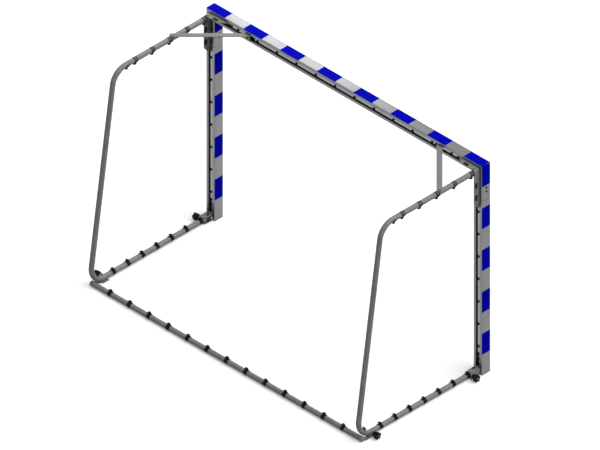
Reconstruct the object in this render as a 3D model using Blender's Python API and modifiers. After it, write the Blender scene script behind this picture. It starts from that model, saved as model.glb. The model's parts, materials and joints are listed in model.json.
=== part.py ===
"""Mini handball goal, 2.40 x 1.60 m inside, with fold-in side hoops and a clamp-on ground bar.

Every size and place is in goal-line coordinates: X across the goal with 0 at its middle, Y from
the front face of the posts towards the back, Z up from the ground. The "goal" empty carries them
all and puts the origin under the middle of the whole goal. Left and right are as a player in
front of the goal sees them, so the right side is at +X. Side pieces are drawn for the right side
and mirrored for the left.
"""
import math

import bmesh
import bpy
from mathutils import Matrix, Vector

# The goal as a whole
INNER_WIDTH = 2.400
INNER_HEIGHT = 1.600
OVERALL_DEPTH = 1.203

# Square aluminium profile with an open channel down its rear face
PROFILE = 0.080
PROFILE_CORNER = 0.006
PROFILE_WALL = 0.003
CHANNEL_WIDTH = 0.036
CHANNEL_DEPTH = 0.024

# Gaps between pieces
GAP = 0.0003
HOLE_PLAY = 0.0003
PLUG_PLAY = 0.001
HOOP_PLAY = 0.0013
FOLD_PLAY = 0.0005

# Post joint: a sleeve inside the post and the corner stub, with two through-bolts in the stub
STUB_LENGTH = 0.285
SLEEVE_WALL = 0.004
SLEEVE_BELOW_JOINT = 0.105
SLEEVE_ABOVE_JOINT = 0.115
JOINT_BOLT_AHEAD = 0.019
JOINT_BOLT_RISES = {"lower": 0.066, "upper": 0.096}

# Foot cap
CAP_FLANGE = 0.003
CAP_PLUG_HEIGHT = 0.020

# Corner bracket: one bent strip, flat against the outer walls of both channels
STRIP = 0.005
STRIP_BEND = 0.019
STRIP_BACK = 0.015
TOP_ARM = 0.176
SIDE_ARM = 0.316
TOP_ARM_CHAMFER = (0.053, 0.035)
SIDE_ARM_CHAMFER = (0.048, 0.037)
ARM_SLOT_LENGTH = 0.042
ARM_SLOT_WIDTH = 0.015
TOP_SLOT_INSET = 0.069
SIDE_SLOT_DROPS = (0.128, 0.227)
BRACKET_BOLT_DROPS = {"upper": 0.144, "lower": 0.249}
BRACKET_BOLT_INSET = 0.010

# Side hoops
TUBE = 0.038
TUBE_WALL = 0.0025
TUBE_BEND = 0.120
LEG_LEAN = math.radians(8.17)
HINGE_BACK = 0.030
HINGE_UNDER_BEND = 0.0023
HOOP_START = 0.017
BEND_STEPS = 8

# Net clips on the tubes. Each clip's band goes round the tube and is left room for: the solids
# hold the clip's saddle and hook, on one body with their tube.
BAND = 0.0012
CLIP_WIDTH = 0.010
CLIP_LENGTH = 0.016
CLIP_SADDLE = 0.003
CLIP_STEM = 0.008
CLIP_REACH = 0.008
CLIP_RISE = 0.014
CLIP_LIP = 0.004
CLIP_ROOT_SHARE = 0.8
UPPER_CLIP_START = 0.013
UPPER_CLIP_PITCH = 0.160
LOWER_CLIP_START = 0.050
LOWER_CLIP_PITCH = 0.135
CLIP_END_ROOM = 0.020
UPPER_BEND_CLIP_INSET = 0.108
LOWER_BEND_CLIP_ANGLE = math.radians(-42.5)
BAR_CLIP_PITCH = 0.180
BAR_CLIP_END_ROOM = 0.100

# Net hooks in the channels, each row on one strip
RAIL_SIDE_ROOM = 0.009
RAIL_THICK = 0.003
RAIL_HOOK_WIDTH = 0.012
RAIL_HOOK_REACH = 0.024
RAIL_HOOK_LIP = 0.003
RAIL_HOOK_RISE = 0.006
RAIL_END = 0.050
CROSSBAR_HOOK_PITCH = 0.180
POST_HOOK_FIRST = 0.215
POST_HOOK_PITCH = 0.180

# Upper hinge
EYE_RADIUS = 0.0115
EYE_THICK = 0.0065
EYE_BORE_ROOM = 0.003
EYE_NECK = 0.014
EYE_BOSS_RADIUS = 0.009
PLUG_LENGTH = 0.023

# Lower hinge: a bracket open to the inner side, and a pivot block in the tube's end
EAR_BOTTOM = 0.002
EAR = 0.005
EAR_RADIUS = 0.022
EAR_END = 0.030
WEB_END = 0.058
TONGUE_TOP = 0.155
TONGUE_SIDE_ROOM = 0.001
NECK_STEP = 0.0005
TONGUE_BOLT_HEIGHTS = {"lower": 0.085, "upper": 0.130}
BLOCK_HALF = 0.015

# Diagonal struts
STRUT_WIDTH = 0.040
STRUT_THICK = 0.004
STRUT_BACK = 0.324
STRUT_TIP_INSET = 0.002
STRUT_RISE = 0.0006
CATCH_LENGTH = 0.046
CATCH_DEPTH = 0.027
CATCH_INSET = 0.013

# Ground bar and its clamps
BAR_TUBE_GAP = 0.005
BAR_OVERHANG = 0.020
BAR_CAP = 0.003
CLAMP_BOTTOM = 0.0026
CLAMP_PLATE = 0.005
CLAMP_LENGTH = 0.105
CLAMP_INNER = 0.025
CLAMP_UPRIGHT_RISE = 0.0037

# Screws, bolts and star knobs
BOLT_RADIUS = 0.004
BOLT_HEAD_RADIUS = 0.007
BOLT_HEAD = 0.0045
BUTTON_HEAD = 0.003
PIVOT_RADIUS = 0.005
PIVOT_HEAD_RADIUS = 0.0065
PIVOT_HEAD = 0.005
NUT_RADIUS = 0.009
NUT = 0.007
KNOB_RADIUS = 0.0225
KNOB_LOBE = 0.004
KNOB_LOBES = 5
KNOB_HEAD = 0.024
KNOB_STEM = 0.026
KNOB_STEM_RADIUS = 0.010
KNOB_BORE_DEPTH = 0.038
FRONT_KNOB_BACK = 0.043
REAR_KNOB_AHEAD = 0.0915
ROUND_SIDES = 12
KNOB_SIDES = 40

# Places that follow from the sizes above
HALF_WIDTH = INNER_WIDTH / 2 + PROFILE
HEIGHT = INNER_HEIGHT + PROFILE
POST_X = HALF_WIDTH - PROFILE / 2
BAR_Z = HEIGHT - PROFILE / 2
CHANNEL_FLOOR = PROFILE - CHANNEL_DEPTH
CHANNEL_OUTER = POST_X + CHANNEL_WIDTH / 2
CHANNEL_TOP = BAR_Z + CHANNEL_WIDTH / 2
JOINT_Z = HEIGHT - STUB_LENGTH
JOINT_BOLT_Y = CHANNEL_FLOOR - JOINT_BOLT_AHEAD
TUBE_RADIUS = TUBE / 2
TUBE_BORE = TUBE_RADIUS - TUBE_WALL
ARM_TOP = CHANNEL_TOP - GAP
ARM_UNDER = ARM_TOP - STRIP
ARM_OUTER = CHANNEL_OUTER - GAP
ARM_INNER = ARM_OUTER - STRIP
HINGE_X = ARM_OUTER - STRIP_BEND - EYE_BOSS_RADIUS + HINGE_UNDER_BEND
HINGE_Y = PROFILE + HINGE_BACK
HOOP_START_Y = HINGE_Y + HOOP_START
ARM_BACK = HINGE_Y + STRIP_BACK
BRACKET_BOLT_Y = CHANNEL_FLOOR + BRACKET_BOLT_INSET
UPPER_Z = ARM_UNDER - FOLD_PLAY - BAND - TUBE_RADIUS
EAR_TOP_OF_LOWER = EAR_BOTTOM + EAR
LOWER_Z = EAR_TOP_OF_LOWER + HOOP_PLAY + TUBE_RADIUS
EAR_UNDER_OF_UPPER = LOWER_Z + TUBE_RADIUS + HOOP_PLAY
EAR_TOP = EAR_UNDER_OF_UPPER + EAR
WEB_INNER = POST_X + TUBE_RADIUS + 5 * GAP
WEB_OUTER = WEB_INNER + EAR
LOWER_BEND = Vector((POST_X, OVERALL_DEPTH - TUBE_RADIUS - TUBE_BEND, LOWER_Z + TUBE_BEND))
STRUT_UNDER = UPPER_Z + TUBE_RADIUS + BAND + STRUT_RISE
STRUT_TOP = STRUT_UNDER + STRUT_THICK
STRUT_BOLT_Y = HINGE_Y + STRUT_BACK
STRUT_RUN = STRUT_BOLT_Y - PROFILE + STRUT_TIP_INSET
CATCH_X = POST_X - STRUT_RUN - CATCH_INSET
CATCH_FRONT = CHANNEL_FLOOR + RAIL_THICK + 2 * GAP
CATCH_TOP = STRUT_UNDER - FOLD_PLAY
CATCH_BOTTOM = BAR_Z - CHANNEL_WIDTH / 2 + 2 * GAP
BAR_TO_BEND = TUBE_BEND + TUBE + BAR_TUBE_GAP
BAR_Y = LOWER_BEND.y + math.sqrt(BAR_TO_BEND ** 2 - (LOWER_BEND.z - TUBE_RADIUS) ** 2)
CLAMP_BACK = BAR_Y - TUBE_RADIUS - GAP
CLAMP_FRONT = CLAMP_BACK - CLAMP_LENGTH
CLAMP_UPRIGHT_TOP = LOWER_Z + TUBE_RADIUS + CLAMP_UPRIGHT_RISE
REAR_KNOB_Y = BAR_Y - REAR_KNOB_AHEAD
BAR_HALF = POST_X + BAR_OVERHANG - BAR_CAP
FRONT_KNOB_Y = HINGE_Y + FRONT_KNOB_BACK
RAIL_WIDTH = CHANNEL_WIDTH - 2 * RAIL_SIDE_ROOM
TONGUE_WIDTH = CHANNEL_WIDTH - 2 * TONGUE_SIDE_ROOM
EYE_LOW = UPPER_Z + TUBE_BORE - EYE_BORE_ROOM - EYE_THICK
CLIP_ROOT = TUBE_WALL * CLIP_ROOT_SHARE

# name: colour, roughness, metallic
FINISHES = {
    "anodised aluminium": ((0.62, 0.62, 0.62, 1), 0.35, 1.0),
    "zinc tube": ((0.36, 0.36, 0.35, 1), 0.45, 0.9),
    "zinc plate": ((0.30, 0.30, 0.30, 1), 0.50, 0.9),
    "dark steel": ((0.10, 0.10, 0.10, 1), 0.50, 0.8),
    "black plastic": ((0.015, 0.015, 0.016, 1), 0.45, 0.0),
    "zinc screw": ((0.45, 0.45, 0.44, 1), 0.35, 1.0),
}

ORIGINS = {}
PLACES = {}


def clear_scene():
    for item in list(bpy.data.objects):
        bpy.data.objects.remove(item, do_unlink=True)


def new_collection(name):
    collection = bpy.data.collections.new(name)
    bpy.context.scene.collection.children.link(collection)
    return collection


clear_scene()
GOAL = new_collection("mini_handball_goal")
CUTTERS = new_collection("cutters")


def finish_material(owner, finish):
    colour, roughness, metallic = FINISHES[finish]
    material = bpy.data.materials.new(f"{owner} {finish}")
    material.use_nodes = True
    shader = material.node_tree.nodes["Principled BSDF"]
    shader.inputs["Base Color"].default_value = colour
    shader.inputs["Roughness"].default_value = roughness
    shader.inputs["Metallic"].default_value = metallic
    return material


def pivot(name, position, parent=None):
    """An empty on a joint's axis, which carries the pieces that turn or slide there."""
    empty = bpy.data.objects.new(name, None)
    GOAL.objects.link(empty)
    ORIGINS[name] = Vector(position)
    empty.parent = parent
    empty.location = ORIGINS[name] - (ORIGINS[parent.name] if parent else Vector())
    return empty


def put(name, mesh, origin, finish, parent, side=1):
    """Link a mesh drawn in goal-line coordinates, with its object's origin at a given point."""
    mesh.transform(Matrix.Translation(-Vector(origin)))
    where = Vector(origin)
    if side < 0:
        mesh.transform(Matrix.Scale(-1, 4, (1, 0, 0)))
        mesh.flip_normals()
        where.x = -where.x
    mesh.name = name
    piece = bpy.data.objects.new(name, mesh)
    piece.parent = parent
    piece.location = where - ORIGINS[parent.name]
    if finish:
        GOAL.objects.link(piece)
        mesh.materials.append(finish_material(name, finish))
        mesh.shade_smooth()
        mesh.set_sharp_from_angle(angle=math.radians(35))
    else:
        CUTTERS.objects.link(piece)
        piece.hide_render = True
        piece.display_type = "WIRE"
    PLACES[name] = (origin, side, parent)
    return piece


def combine(piece, mesh, operation):
    """Cut a mesh from a piece, or weld it on. The mesh is drawn for the right side too."""
    origin, side, parent = PLACES[piece.name]
    label = f"{piece.name}_{operation.lower()}_{len(piece.modifiers)}"
    tool = put(label, mesh, origin, None, parent, side)
    modifier = piece.modifiers.new(operation.lower(), "BOOLEAN")
    modifier.operation = operation
    modifier.solver = "EXACT"
    modifier.object = tool


def cut(piece, *meshes):
    combine(piece, joined(meshes), "DIFFERENCE")


def weld_on(piece, *meshes):
    combine(piece, joined(meshes), "UNION")


def curve_mesh(curve):
    """The mesh of a curve, with its loose caps welded and its faces pointing out."""
    holder = bpy.data.objects.new("curve", curve)
    bpy.context.scene.collection.objects.link(holder)
    depsgraph = bpy.context.evaluated_depsgraph_get()
    mesh = bpy.data.meshes.new_from_object(holder.evaluated_get(depsgraph))
    bpy.data.objects.remove(holder)
    bpy.data.curves.remove(curve)
    mesh.materials.clear()
    bm = bmesh.new()
    bm.from_mesh(mesh)
    bmesh.ops.remove_doubles(bm, verts=bm.verts, dist=0.00002)
    bmesh.ops.recalc_face_normals(bm, faces=bm.faces)
    bm.to_mesh(mesh)
    bm.free()
    return mesh


def add_spline(curve, points, closed):
    spline = curve.splines.new("POLY")
    spline.points.add(len(points) - 1)
    for target, point in zip(spline.points, points):
        target.co = (*point, 1) if len(point) == 3 else (*point, 0, 1)
    spline.use_cyclic_u = closed


PLANE_TURNS = {
    "XY": Matrix(((1, 0, 0), (0, 1, 0), (0, 0, 1))),
    "XZ": Matrix(((1, 0, 0), (0, 0, -1), (0, 1, 0))),
    "YZ": Matrix(((0, 0, 1), (1, 0, 0), (0, 1, 0))),
}


def prism(plane, low, high, *outlines):
    """Flat outlines in a plane, the first one solid and the rest holes in it, from low to high."""
    curve = bpy.data.curves.new("outline", "CURVE")
    curve.dimensions = "2D"
    curve.fill_mode = "BOTH"
    curve.extrude = (high - low) / 2
    for points in outlines:
        add_spline(curve, points, True)
    mesh = curve_mesh(curve)
    turn = PLANE_TURNS[plane]
    normal = Vector([abs(value) for value in turn.col[2]])
    mesh.transform(Matrix.Translation(normal * (low + high) / 2) @ turn.to_4x4())
    return mesh


def joined(meshes):
    bm = bmesh.new()
    for mesh in meshes:
        bm.from_mesh(mesh)
        bpy.data.meshes.remove(mesh)
    result = bpy.data.meshes.new("joined")
    bm.to_mesh(result)
    bm.free()
    return result


def block(low, high):
    bm = bmesh.new()
    bmesh.ops.create_cube(bm, size=1)
    size = Vector(high) - Vector(low)
    bmesh.ops.scale(bm, vec=size, verts=bm.verts)
    bmesh.ops.translate(bm, vec=(Vector(low) + Vector(high)) / 2, verts=bm.verts)
    mesh = bpy.data.meshes.new("block")
    bm.to_mesh(mesh)
    bm.free()
    return mesh


def rod(radius, start, end, sides=ROUND_SIDES):
    start, end = Vector(start), Vector(end)
    along = end - start
    turn = Vector((0, 0, 1)).rotation_difference(along).to_matrix().to_4x4()
    bm = bmesh.new()
    bmesh.ops.create_cone(bm, cap_ends=True, segments=sides, radius1=radius, radius2=radius,
                          depth=along.length, matrix=Matrix.Translation((start + end) / 2) @ turn)
    mesh = bpy.data.meshes.new("rod")
    bm.to_mesh(mesh)
    bm.free()
    return mesh


def arc(centre, radius, start, end, steps):
    """Points of an arc from one angle to another, both in degrees."""
    points = []
    for step in range(steps + 1):
        angle = math.radians(start + (end - start) * step / steps)
        points.append((centre[0] + radius * math.cos(angle), centre[1] + radius * math.sin(angle)))
    return points


def slot(centre, length, width, upright=False):
    radius = width / 2
    run = (length - width) / 2
    quarter = 90 if upright else 0
    offset = (0, run) if upright else (run, 0)
    ahead = (centre[0] + offset[0], centre[1] + offset[1])
    behind = (centre[0] - offset[0], centre[1] - offset[1])
    return (arc(ahead, radius, quarter - 90, quarter + 90, 6)
            + arc(behind, radius, quarter + 90, quarter + 270, 6))


def row(first, pitch, last):
    """Evenly spaced places from the first one, as many as fit up to the last."""
    return [first + i * pitch for i in range(int((last - first) / pitch) + 1)]


def turned(name, profile, seat, direction, finish, parent, side=1):
    """A bolt or pin, turned about its axis. Heights in its profile run from the seat outwards."""
    mesh = bpy.data.meshes.new(name)
    points = [(radius, 0, height) for radius, height in profile]
    mesh.from_pydata(points, [(i, i + 1) for i in range(len(points) - 1)], [])
    piece = put(name, mesh, (0, 0, 0), finish, parent)
    where = Vector((side * seat[0], seat[1], seat[2]))
    along = Vector((side * direction[0], direction[1], direction[2]))
    piece.location = where - ORIGINS[parent.name]
    piece.rotation_euler = Vector((0, 0, 1)).rotation_difference(along).to_euler()
    screw = piece.modifiers.new("turn", "SCREW")
    screw.steps = ROUND_SIDES
    screw.render_steps = ROUND_SIDES
    screw.use_merge_vertices = True
    screw.merge_threshold = 0.00001
    return piece


def bolt_profile(head_radius, head, shank_radius, length):
    return [(0, head), (head_radius, head), (head_radius, 0), (shank_radius, 0),
            (shank_radius, -length), (0, -length)]


def nut_bolt_profile(head_radius, head, shank_radius, grip, nut_radius, nut):
    """A bolt with a head, a shank through its grip and a nut on the far side."""
    return [(0, head), (head_radius, head), (head_radius, 0), (shank_radius, 0),
            (shank_radius, -grip), (nut_radius, -grip), (nut_radius, -grip - nut), (0, -grip - nut)]


def section_outlines():
    """The profile's section: across, then from the front face back, with its one hollow."""
    half = PROFILE / 2
    channel = CHANNEL_WIDTH / 2
    corner = half - PROFILE_CORNER
    outer = arc((corner, PROFILE_CORNER), PROFILE_CORNER, -90, 0, 2)
    outer += arc((corner, PROFILE - PROFILE_CORNER), PROFILE_CORNER, 0, 90, 2)
    outer += [(channel, PROFILE), (channel, CHANNEL_FLOOR)]
    outer += [(-channel, CHANNEL_FLOOR), (-channel, PROFILE)]
    outer += arc((-corner, PROFILE - PROFILE_CORNER), PROFILE_CORNER, 90, 180, 2)
    outer += arc((-corner, PROFILE_CORNER), PROFILE_CORNER, 180, 270, 2)
    wall = PROFILE_WALL
    hollow = [(half - wall, wall), (half - wall, PROFILE - wall), (channel + wall, PROFILE - wall),
              (channel + wall, CHANNEL_FLOOR - wall), (-channel - wall, CHANNEL_FLOOR - wall),
              (-channel - wall, PROFILE - wall), (wall - half, PROFILE - wall), (wall - half, wall)]
    return outer, hollow


def upright_profile(low, high):
    outlines = [[(POST_X + across, depth) for across, depth in points]
                for points in section_outlines()]
    return prism("XY", low, high, *outlines)


def make_crossbar(goal):
    outlines = [[(depth, BAR_Z + across) for across, depth in points]
                for points in section_outlines()]
    mesh = prism("YZ", -HALF_WIDTH, HALF_WIDTH, *outlines)
    for vertex in mesh.vertices:
        mitre = HALF_WIDTH - (HEIGHT - vertex.co.z) - GAP
        vertex.co.x = math.copysign(mitre, vertex.co.x)
    crossbar = put("crossbar", mesh, (0, 0, BAR_Z), "anodised aluminium", goal)
    hole = BOLT_RADIUS + HOLE_PLAY
    cut(crossbar, *[rod(hole, (side * CATCH_X, CHANNEL_FLOOR - 2 * PROFILE_WALL, BAR_Z),
                        (side * CATCH_X, PROFILE, BAR_Z)) for side in (-1, 1)])


def joint_bolt_holes():
    radius = BOLT_RADIUS + HOLE_PLAY
    return [rod(radius, (POST_X - PROFILE, JOINT_BOLT_Y, JOINT_Z + rise),
                (POST_X + PROFILE, JOINT_BOLT_Y, JOINT_Z + rise))
            for rise in JOINT_BOLT_RISES.values()]


def make_corner_stub(goal, prefix, side):
    mesh = upright_profile(JOINT_Z + GAP, HEIGHT)
    for vertex in mesh.vertices:
        if vertex.co.z > HEIGHT - PROFILE:
            vertex.co.z = HEIGHT - (HALF_WIDTH - vertex.co.x) - GAP
    stub = put(f"{prefix}_corner_stub", mesh, (POST_X, 0, JOINT_Z), "anodised aluminium",
               goal, side)
    bracket_holes = [rod(BOLT_RADIUS + HOLE_PLAY, (POST_X, BRACKET_BOLT_Y, height),
                         (CHANNEL_OUTER + 2 * PROFILE_WALL, BRACKET_BOLT_Y, height))
                     for height in bracket_bolt_heights().values()]
    cut(stub, *joint_bolt_holes(), *bracket_holes)


def make_post(goal, prefix, side):
    post = put(f"{prefix}_post", upright_profile(CAP_FLANGE + GAP, JOINT_Z), (POST_X, 0, 0),
               "anodised aluminium", goal, side)
    cut(post, *[rod(BOLT_RADIUS + HOLE_PLAY, (POST_X, CHANNEL_FLOOR - 2 * PROFILE_WALL, height),
                    (POST_X, PROFILE, height)) for height in TONGUE_BOLT_HEIGHTS.values()])


def make_joint_sleeve(goal, prefix, side):
    half = PROFILE / 2 - PROFILE_WALL - GAP
    front = PROFILE_WALL + GAP
    back = CHANNEL_FLOOR - PROFILE_WALL - GAP
    outer = [(POST_X - half, front), (POST_X + half, front), (POST_X + half, back),
             (POST_X - half, back)]
    wall = SLEEVE_WALL
    inner = [(POST_X - half + wall, front + wall), (POST_X + half - wall, front + wall),
             (POST_X + half - wall, back - wall), (POST_X - half + wall, back - wall)]
    mesh = prism("XY", JOINT_Z - SLEEVE_BELOW_JOINT, JOINT_Z + SLEEVE_ABOVE_JOINT, outer, inner)
    sleeve = put(f"{prefix}_joint_sleeve", mesh, (POST_X, 0, JOINT_Z), "zinc plate", goal, side)
    cut(sleeve, *joint_bolt_holes())


def make_joint_bolts(goal, prefix, side):
    for level, rise in JOINT_BOLT_RISES.items():
        grip = PROFILE + 2 * GAP
        profile = nut_bolt_profile(BOLT_HEAD_RADIUS, BUTTON_HEAD, BOLT_RADIUS, grip,
                                   BOLT_HEAD_RADIUS, BUTTON_HEAD)
        turned(f"{prefix}_joint_bolt_{level}", profile,
               (HALF_WIDTH + GAP, JOINT_BOLT_Y, JOINT_Z + rise), (1, 0, 0), "zinc screw", goal, side)


def make_foot_cap(goal, prefix, side):
    outline = [(POST_X + across, depth) for across, depth in section_outlines()[0]]
    cap = put(f"{prefix}_foot_cap", prism("XY", 0, CAP_FLANGE, outline), (POST_X, 0, 0),
              "black plastic", goal, side)
    half = PROFILE / 2 - PROFILE_WALL - GAP
    weld_on(cap, block((POST_X - half, PROFILE_WALL + GAP, CAP_FLANGE / 2),
                       (POST_X + half, CHANNEL_FLOOR - PROFILE_WALL - GAP, CAP_PLUG_HEIGHT)))


def bracket_bolt_heights():
    """Each bracket bolt's height, from its drop below the bracket's top arm."""
    return {level: ARM_TOP - drop for level, drop in BRACKET_BOLT_DROPS.items()}


def make_corner_bracket(goal, prefix, side):
    bend = (ARM_OUTER - STRIP_BEND, ARM_TOP - STRIP_BEND)
    tip = ARM_OUTER - TOP_ARM
    foot = ARM_TOP - SIDE_ARM
    outline = [(tip, ARM_TOP)] + arc(bend, STRIP_BEND, 90, 0, 6)
    outline += [(ARM_OUTER, foot), (ARM_INNER, foot)]
    outline += arc(bend, STRIP_BEND - STRIP, 0, 90, 6) + [(tip, ARM_UNDER)]
    mesh = prism("XZ", CHANNEL_FLOOR + 2 * GAP, ARM_BACK, outline)
    bracket = put(f"{prefix}_corner_bracket", mesh, (HINGE_X, HINGE_Y, ARM_UNDER), "zinc plate",
                  goal, side)
    beyond = STRIP
    tip_cut = [(tip - beyond, ARM_BACK - TOP_ARM_CHAMFER[1]), (tip, ARM_BACK - TOP_ARM_CHAMFER[1]),
               (tip + TOP_ARM_CHAMFER[0], ARM_BACK), (tip + TOP_ARM_CHAMFER[0], ARM_BACK + beyond),
               (tip - beyond, ARM_BACK + beyond)]
    foot_cut = [(ARM_BACK - SIDE_ARM_CHAMFER[1], foot - beyond),
                (ARM_BACK - SIDE_ARM_CHAMFER[1], foot), (ARM_BACK, foot + SIDE_ARM_CHAMFER[0]),
                (ARM_BACK + beyond, foot + SIDE_ARM_CHAMFER[0]), (ARM_BACK + beyond, foot - beyond)]
    cuts = [prism("XY", ARM_UNDER - STRIP, ARM_TOP + STRIP, tip_cut),
            prism("YZ", ARM_INNER - STRIP, ARM_OUTER + STRIP, foot_cut),
            prism("XY", ARM_UNDER - STRIP, ARM_TOP + STRIP,
                  slot((HINGE_X - TOP_SLOT_INSET, HINGE_Y), ARM_SLOT_LENGTH, ARM_SLOT_WIDTH)),
            rod(PIVOT_RADIUS + HOLE_PLAY, (HINGE_X, HINGE_Y, ARM_UNDER - STRIP),
                (HINGE_X, HINGE_Y, ARM_TOP + STRIP))]
    for drop in SIDE_SLOT_DROPS:
        cuts.append(prism("YZ", ARM_INNER - STRIP, ARM_OUTER + STRIP,
                          slot((HINGE_Y, ARM_TOP - drop), ARM_SLOT_LENGTH, ARM_SLOT_WIDTH, True)))
    for height in bracket_bolt_heights().values():
        cuts.append(rod(BOLT_RADIUS + HOLE_PLAY, (ARM_INNER - STRIP, BRACKET_BOLT_Y, height),
                        (ARM_OUTER + STRIP, BRACKET_BOLT_Y, height)))
    cut(bracket, *cuts)


def make_bracket_bolts(goal, prefix, side):
    seat = ARM_INNER - GAP
    profile = bolt_profile(BOLT_HEAD_RADIUS, BOLT_HEAD, BOLT_RADIUS,
                           CHANNEL_OUTER + 2 * PROFILE_WALL - seat)
    for level, height in bracket_bolt_heights().items():
        turned(f"{prefix}_bracket_bolt_{level}", profile, (seat, BRACKET_BOLT_Y, height),
               (-1, 0, 0), "zinc screw", goal, side)


def make_upper_hinge_bolt(goal, prefix, side):
    seat = ARM_TOP + GAP
    profile = nut_bolt_profile(PIVOT_HEAD_RADIUS, PIVOT_HEAD, PIVOT_RADIUS,
                               seat - EYE_LOW + GAP, NUT_RADIUS, NUT)
    turned(f"{prefix}_upper_hinge_bolt", profile, (HINGE_X, HINGE_Y, seat), (0, 0, 1),
           "zinc screw", goal, side)


def make_foot_bracket(goal, prefix, side):
    """A U on its side round the tube's end, with a neck and a tongue in the post's channel."""
    behind_post = PROFILE + 2 * GAP
    ear_inner = POST_X - EAR_RADIUS
    ear_end = HINGE_Y + EAR_END
    web_end = HINGE_Y + WEB_END
    section = [(ear_inner, EAR_BOTTOM), (WEB_OUTER, EAR_BOTTOM), (WEB_OUTER, EAR_TOP),
               (ear_inner, EAR_TOP), (ear_inner, EAR_UNDER_OF_UPPER),
               (WEB_INNER, EAR_UNDER_OF_UPPER), (WEB_INNER, EAR_TOP_OF_LOWER),
               (ear_inner, EAR_TOP_OF_LOWER)]
    bracket = put(f"{prefix}_foot_bracket", prism("XZ", behind_post, web_end, section),
                  (HINGE_X, HINGE_Y, 0), "dark steel", goal, side)
    round_end = arc((POST_X, ear_end), EAR_RADIUS, 180, 30, 6)
    web_side = WEB_INNER - GAP
    beyond_ears = ([(ear_inner - EAR, ear_end)] + round_end
                   + [(web_side, round_end[-1][1]), (web_side, web_end + EAR),
                      (ear_inner - EAR, web_end + EAR)])
    cut(bracket, prism("XY", EAR_BOTTOM - EAR, EAR_TOP + EAR, beyond_ears))
    half = TONGUE_WIDTH / 2
    front = CHANNEL_FLOOR + GAP
    neck_low, neck_high = EAR_UNDER_OF_UPPER + NECK_STEP, EAR_TOP - NECK_STEP
    tongue = [(front, neck_low), (behind_post + EAR, neck_low), (behind_post + EAR, neck_high),
              (front + EAR, neck_high), (front + EAR, TONGUE_TOP), (front, TONGUE_TOP)]
    weld_on(bracket, prism("YZ", POST_X - half, POST_X + half, tongue))
    stud = PIVOT_RADIUS + HOLE_PLAY
    cuts = [rod(stud, (HINGE_X, HINGE_Y, -EAR), (HINGE_X, HINGE_Y, EAR_TOP + EAR)),
            rod(stud, (WEB_INNER - GAP, FRONT_KNOB_Y, LOWER_Z),
                (WEB_OUTER + EAR, FRONT_KNOB_Y, LOWER_Z))]
    for height in TONGUE_BOLT_HEIGHTS.values():
        cuts.append(rod(BOLT_RADIUS + HOLE_PLAY, (POST_X, front - EAR, height),
                        (POST_X, front + 2 * EAR, height)))
    cut(bracket, *cuts)


def make_foot_bracket_bolts(goal, prefix, side):
    seat = CHANNEL_FLOOR + 2 * GAP + EAR
    profile = bolt_profile(BOLT_HEAD_RADIUS, BOLT_HEAD, BOLT_RADIUS,
                           seat - CHANNEL_FLOOR + 2 * PROFILE_WALL)
    for level, height in TONGUE_BOLT_HEIGHTS.items():
        turned(f"{prefix}_foot_bracket_bolt_{level}", profile, (POST_X, seat, height), (0, 1, 0),
               "zinc screw", goal, side)


def make_lower_hinge_bolt(goal, prefix, side):
    seat = EAR_TOP + GAP
    profile = bolt_profile(PIVOT_HEAD_RADIUS + PIVOT_RADIUS / 4, PIVOT_HEAD, PIVOT_RADIUS,
                           seat - EAR_BOTTOM)
    turned(f"{prefix}_lower_hinge_bolt", profile, (HINGE_X, HINGE_Y, seat), (0, 0, 1),
           "black plastic", goal, side)


def make_strut_catch(goal, prefix, side):
    low = (CATCH_X - CATCH_LENGTH / 2, CATCH_FRONT, CATCH_BOTTOM)
    high = (CATCH_X + CATCH_LENGTH / 2, CATCH_FRONT + CATCH_DEPTH, CATCH_TOP)
    catch = put(f"{prefix}_strut_catch", block(low, high), (CATCH_X, CHANNEL_FLOOR, BAR_Z),
                "black plastic", goal, side)
    cut(catch, rod(BOLT_RADIUS + HOLE_PLAY, (CATCH_X, CATCH_FRONT - STRIP, BAR_Z),
                   (CATCH_X, high[1] + STRIP, BAR_Z)))
    seat = high[1] + GAP
    profile = bolt_profile(BOLT_HEAD_RADIUS, BUTTON_HEAD, BOLT_RADIUS,
                           seat - CHANNEL_FLOOR + 2 * PROFILE_WALL)
    turned(f"{prefix}_catch_screw", profile, (CATCH_X, seat, BAR_Z), (0, 1, 0), "zinc screw",
           goal, side)


def rail_hook(centre, along):
    """One net hook on its strip: a flat finger back out of the channel, with a lip at its end."""
    half = RAIL_HOOK_WIDTH / 2
    thick = RAIL_HOOK_LIP
    low = CHANNEL_FLOOR + GAP + RAIL_THICK / 2
    end = CHANNEL_FLOOR + GAP + RAIL_HOOK_REACH
    finger = [(low, -thick / 2), (end, -thick / 2), (end, RAIL_HOOK_RISE),
              (end - thick, RAIL_HOOK_RISE), (end - thick, thick / 2), (low, thick / 2)]
    mesh = prism("YZ", -half, half, finger)
    if along == "Z":
        mesh.transform(Matrix.Rotation(math.radians(90), 4, "Y"))
    mesh.transform(Matrix.Translation(centre))
    return mesh


def make_crossbar_hook_rail(goal):
    half_row = row(CROSSBAR_HOOK_PITCH / 2, CROSSBAR_HOOK_PITCH, ARM_OUTER - TOP_ARM - RAIL_END)
    places = [-x for x in reversed(half_row)] + half_row
    end = places[-1] + RAIL_END
    front = CHANNEL_FLOOR + GAP
    strip = block((-end, front, BAR_Z - RAIL_WIDTH / 2),
                  (end, front + RAIL_THICK, BAR_Z + RAIL_WIDTH / 2))
    rail = put("crossbar_hook_rail", strip, (0, CHANNEL_FLOOR, BAR_Z), "black plastic", goal)
    weld_on(rail, *[rail_hook((x, 0, BAR_Z), "X") for x in places])
    cut(rail, *[rod(BOLT_RADIUS + HOLE_PLAY, (side * CATCH_X, front - STRIP, BAR_Z),
                    (side * CATCH_X, front + STRIP, BAR_Z)) for side in (-1, 1)])


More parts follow.
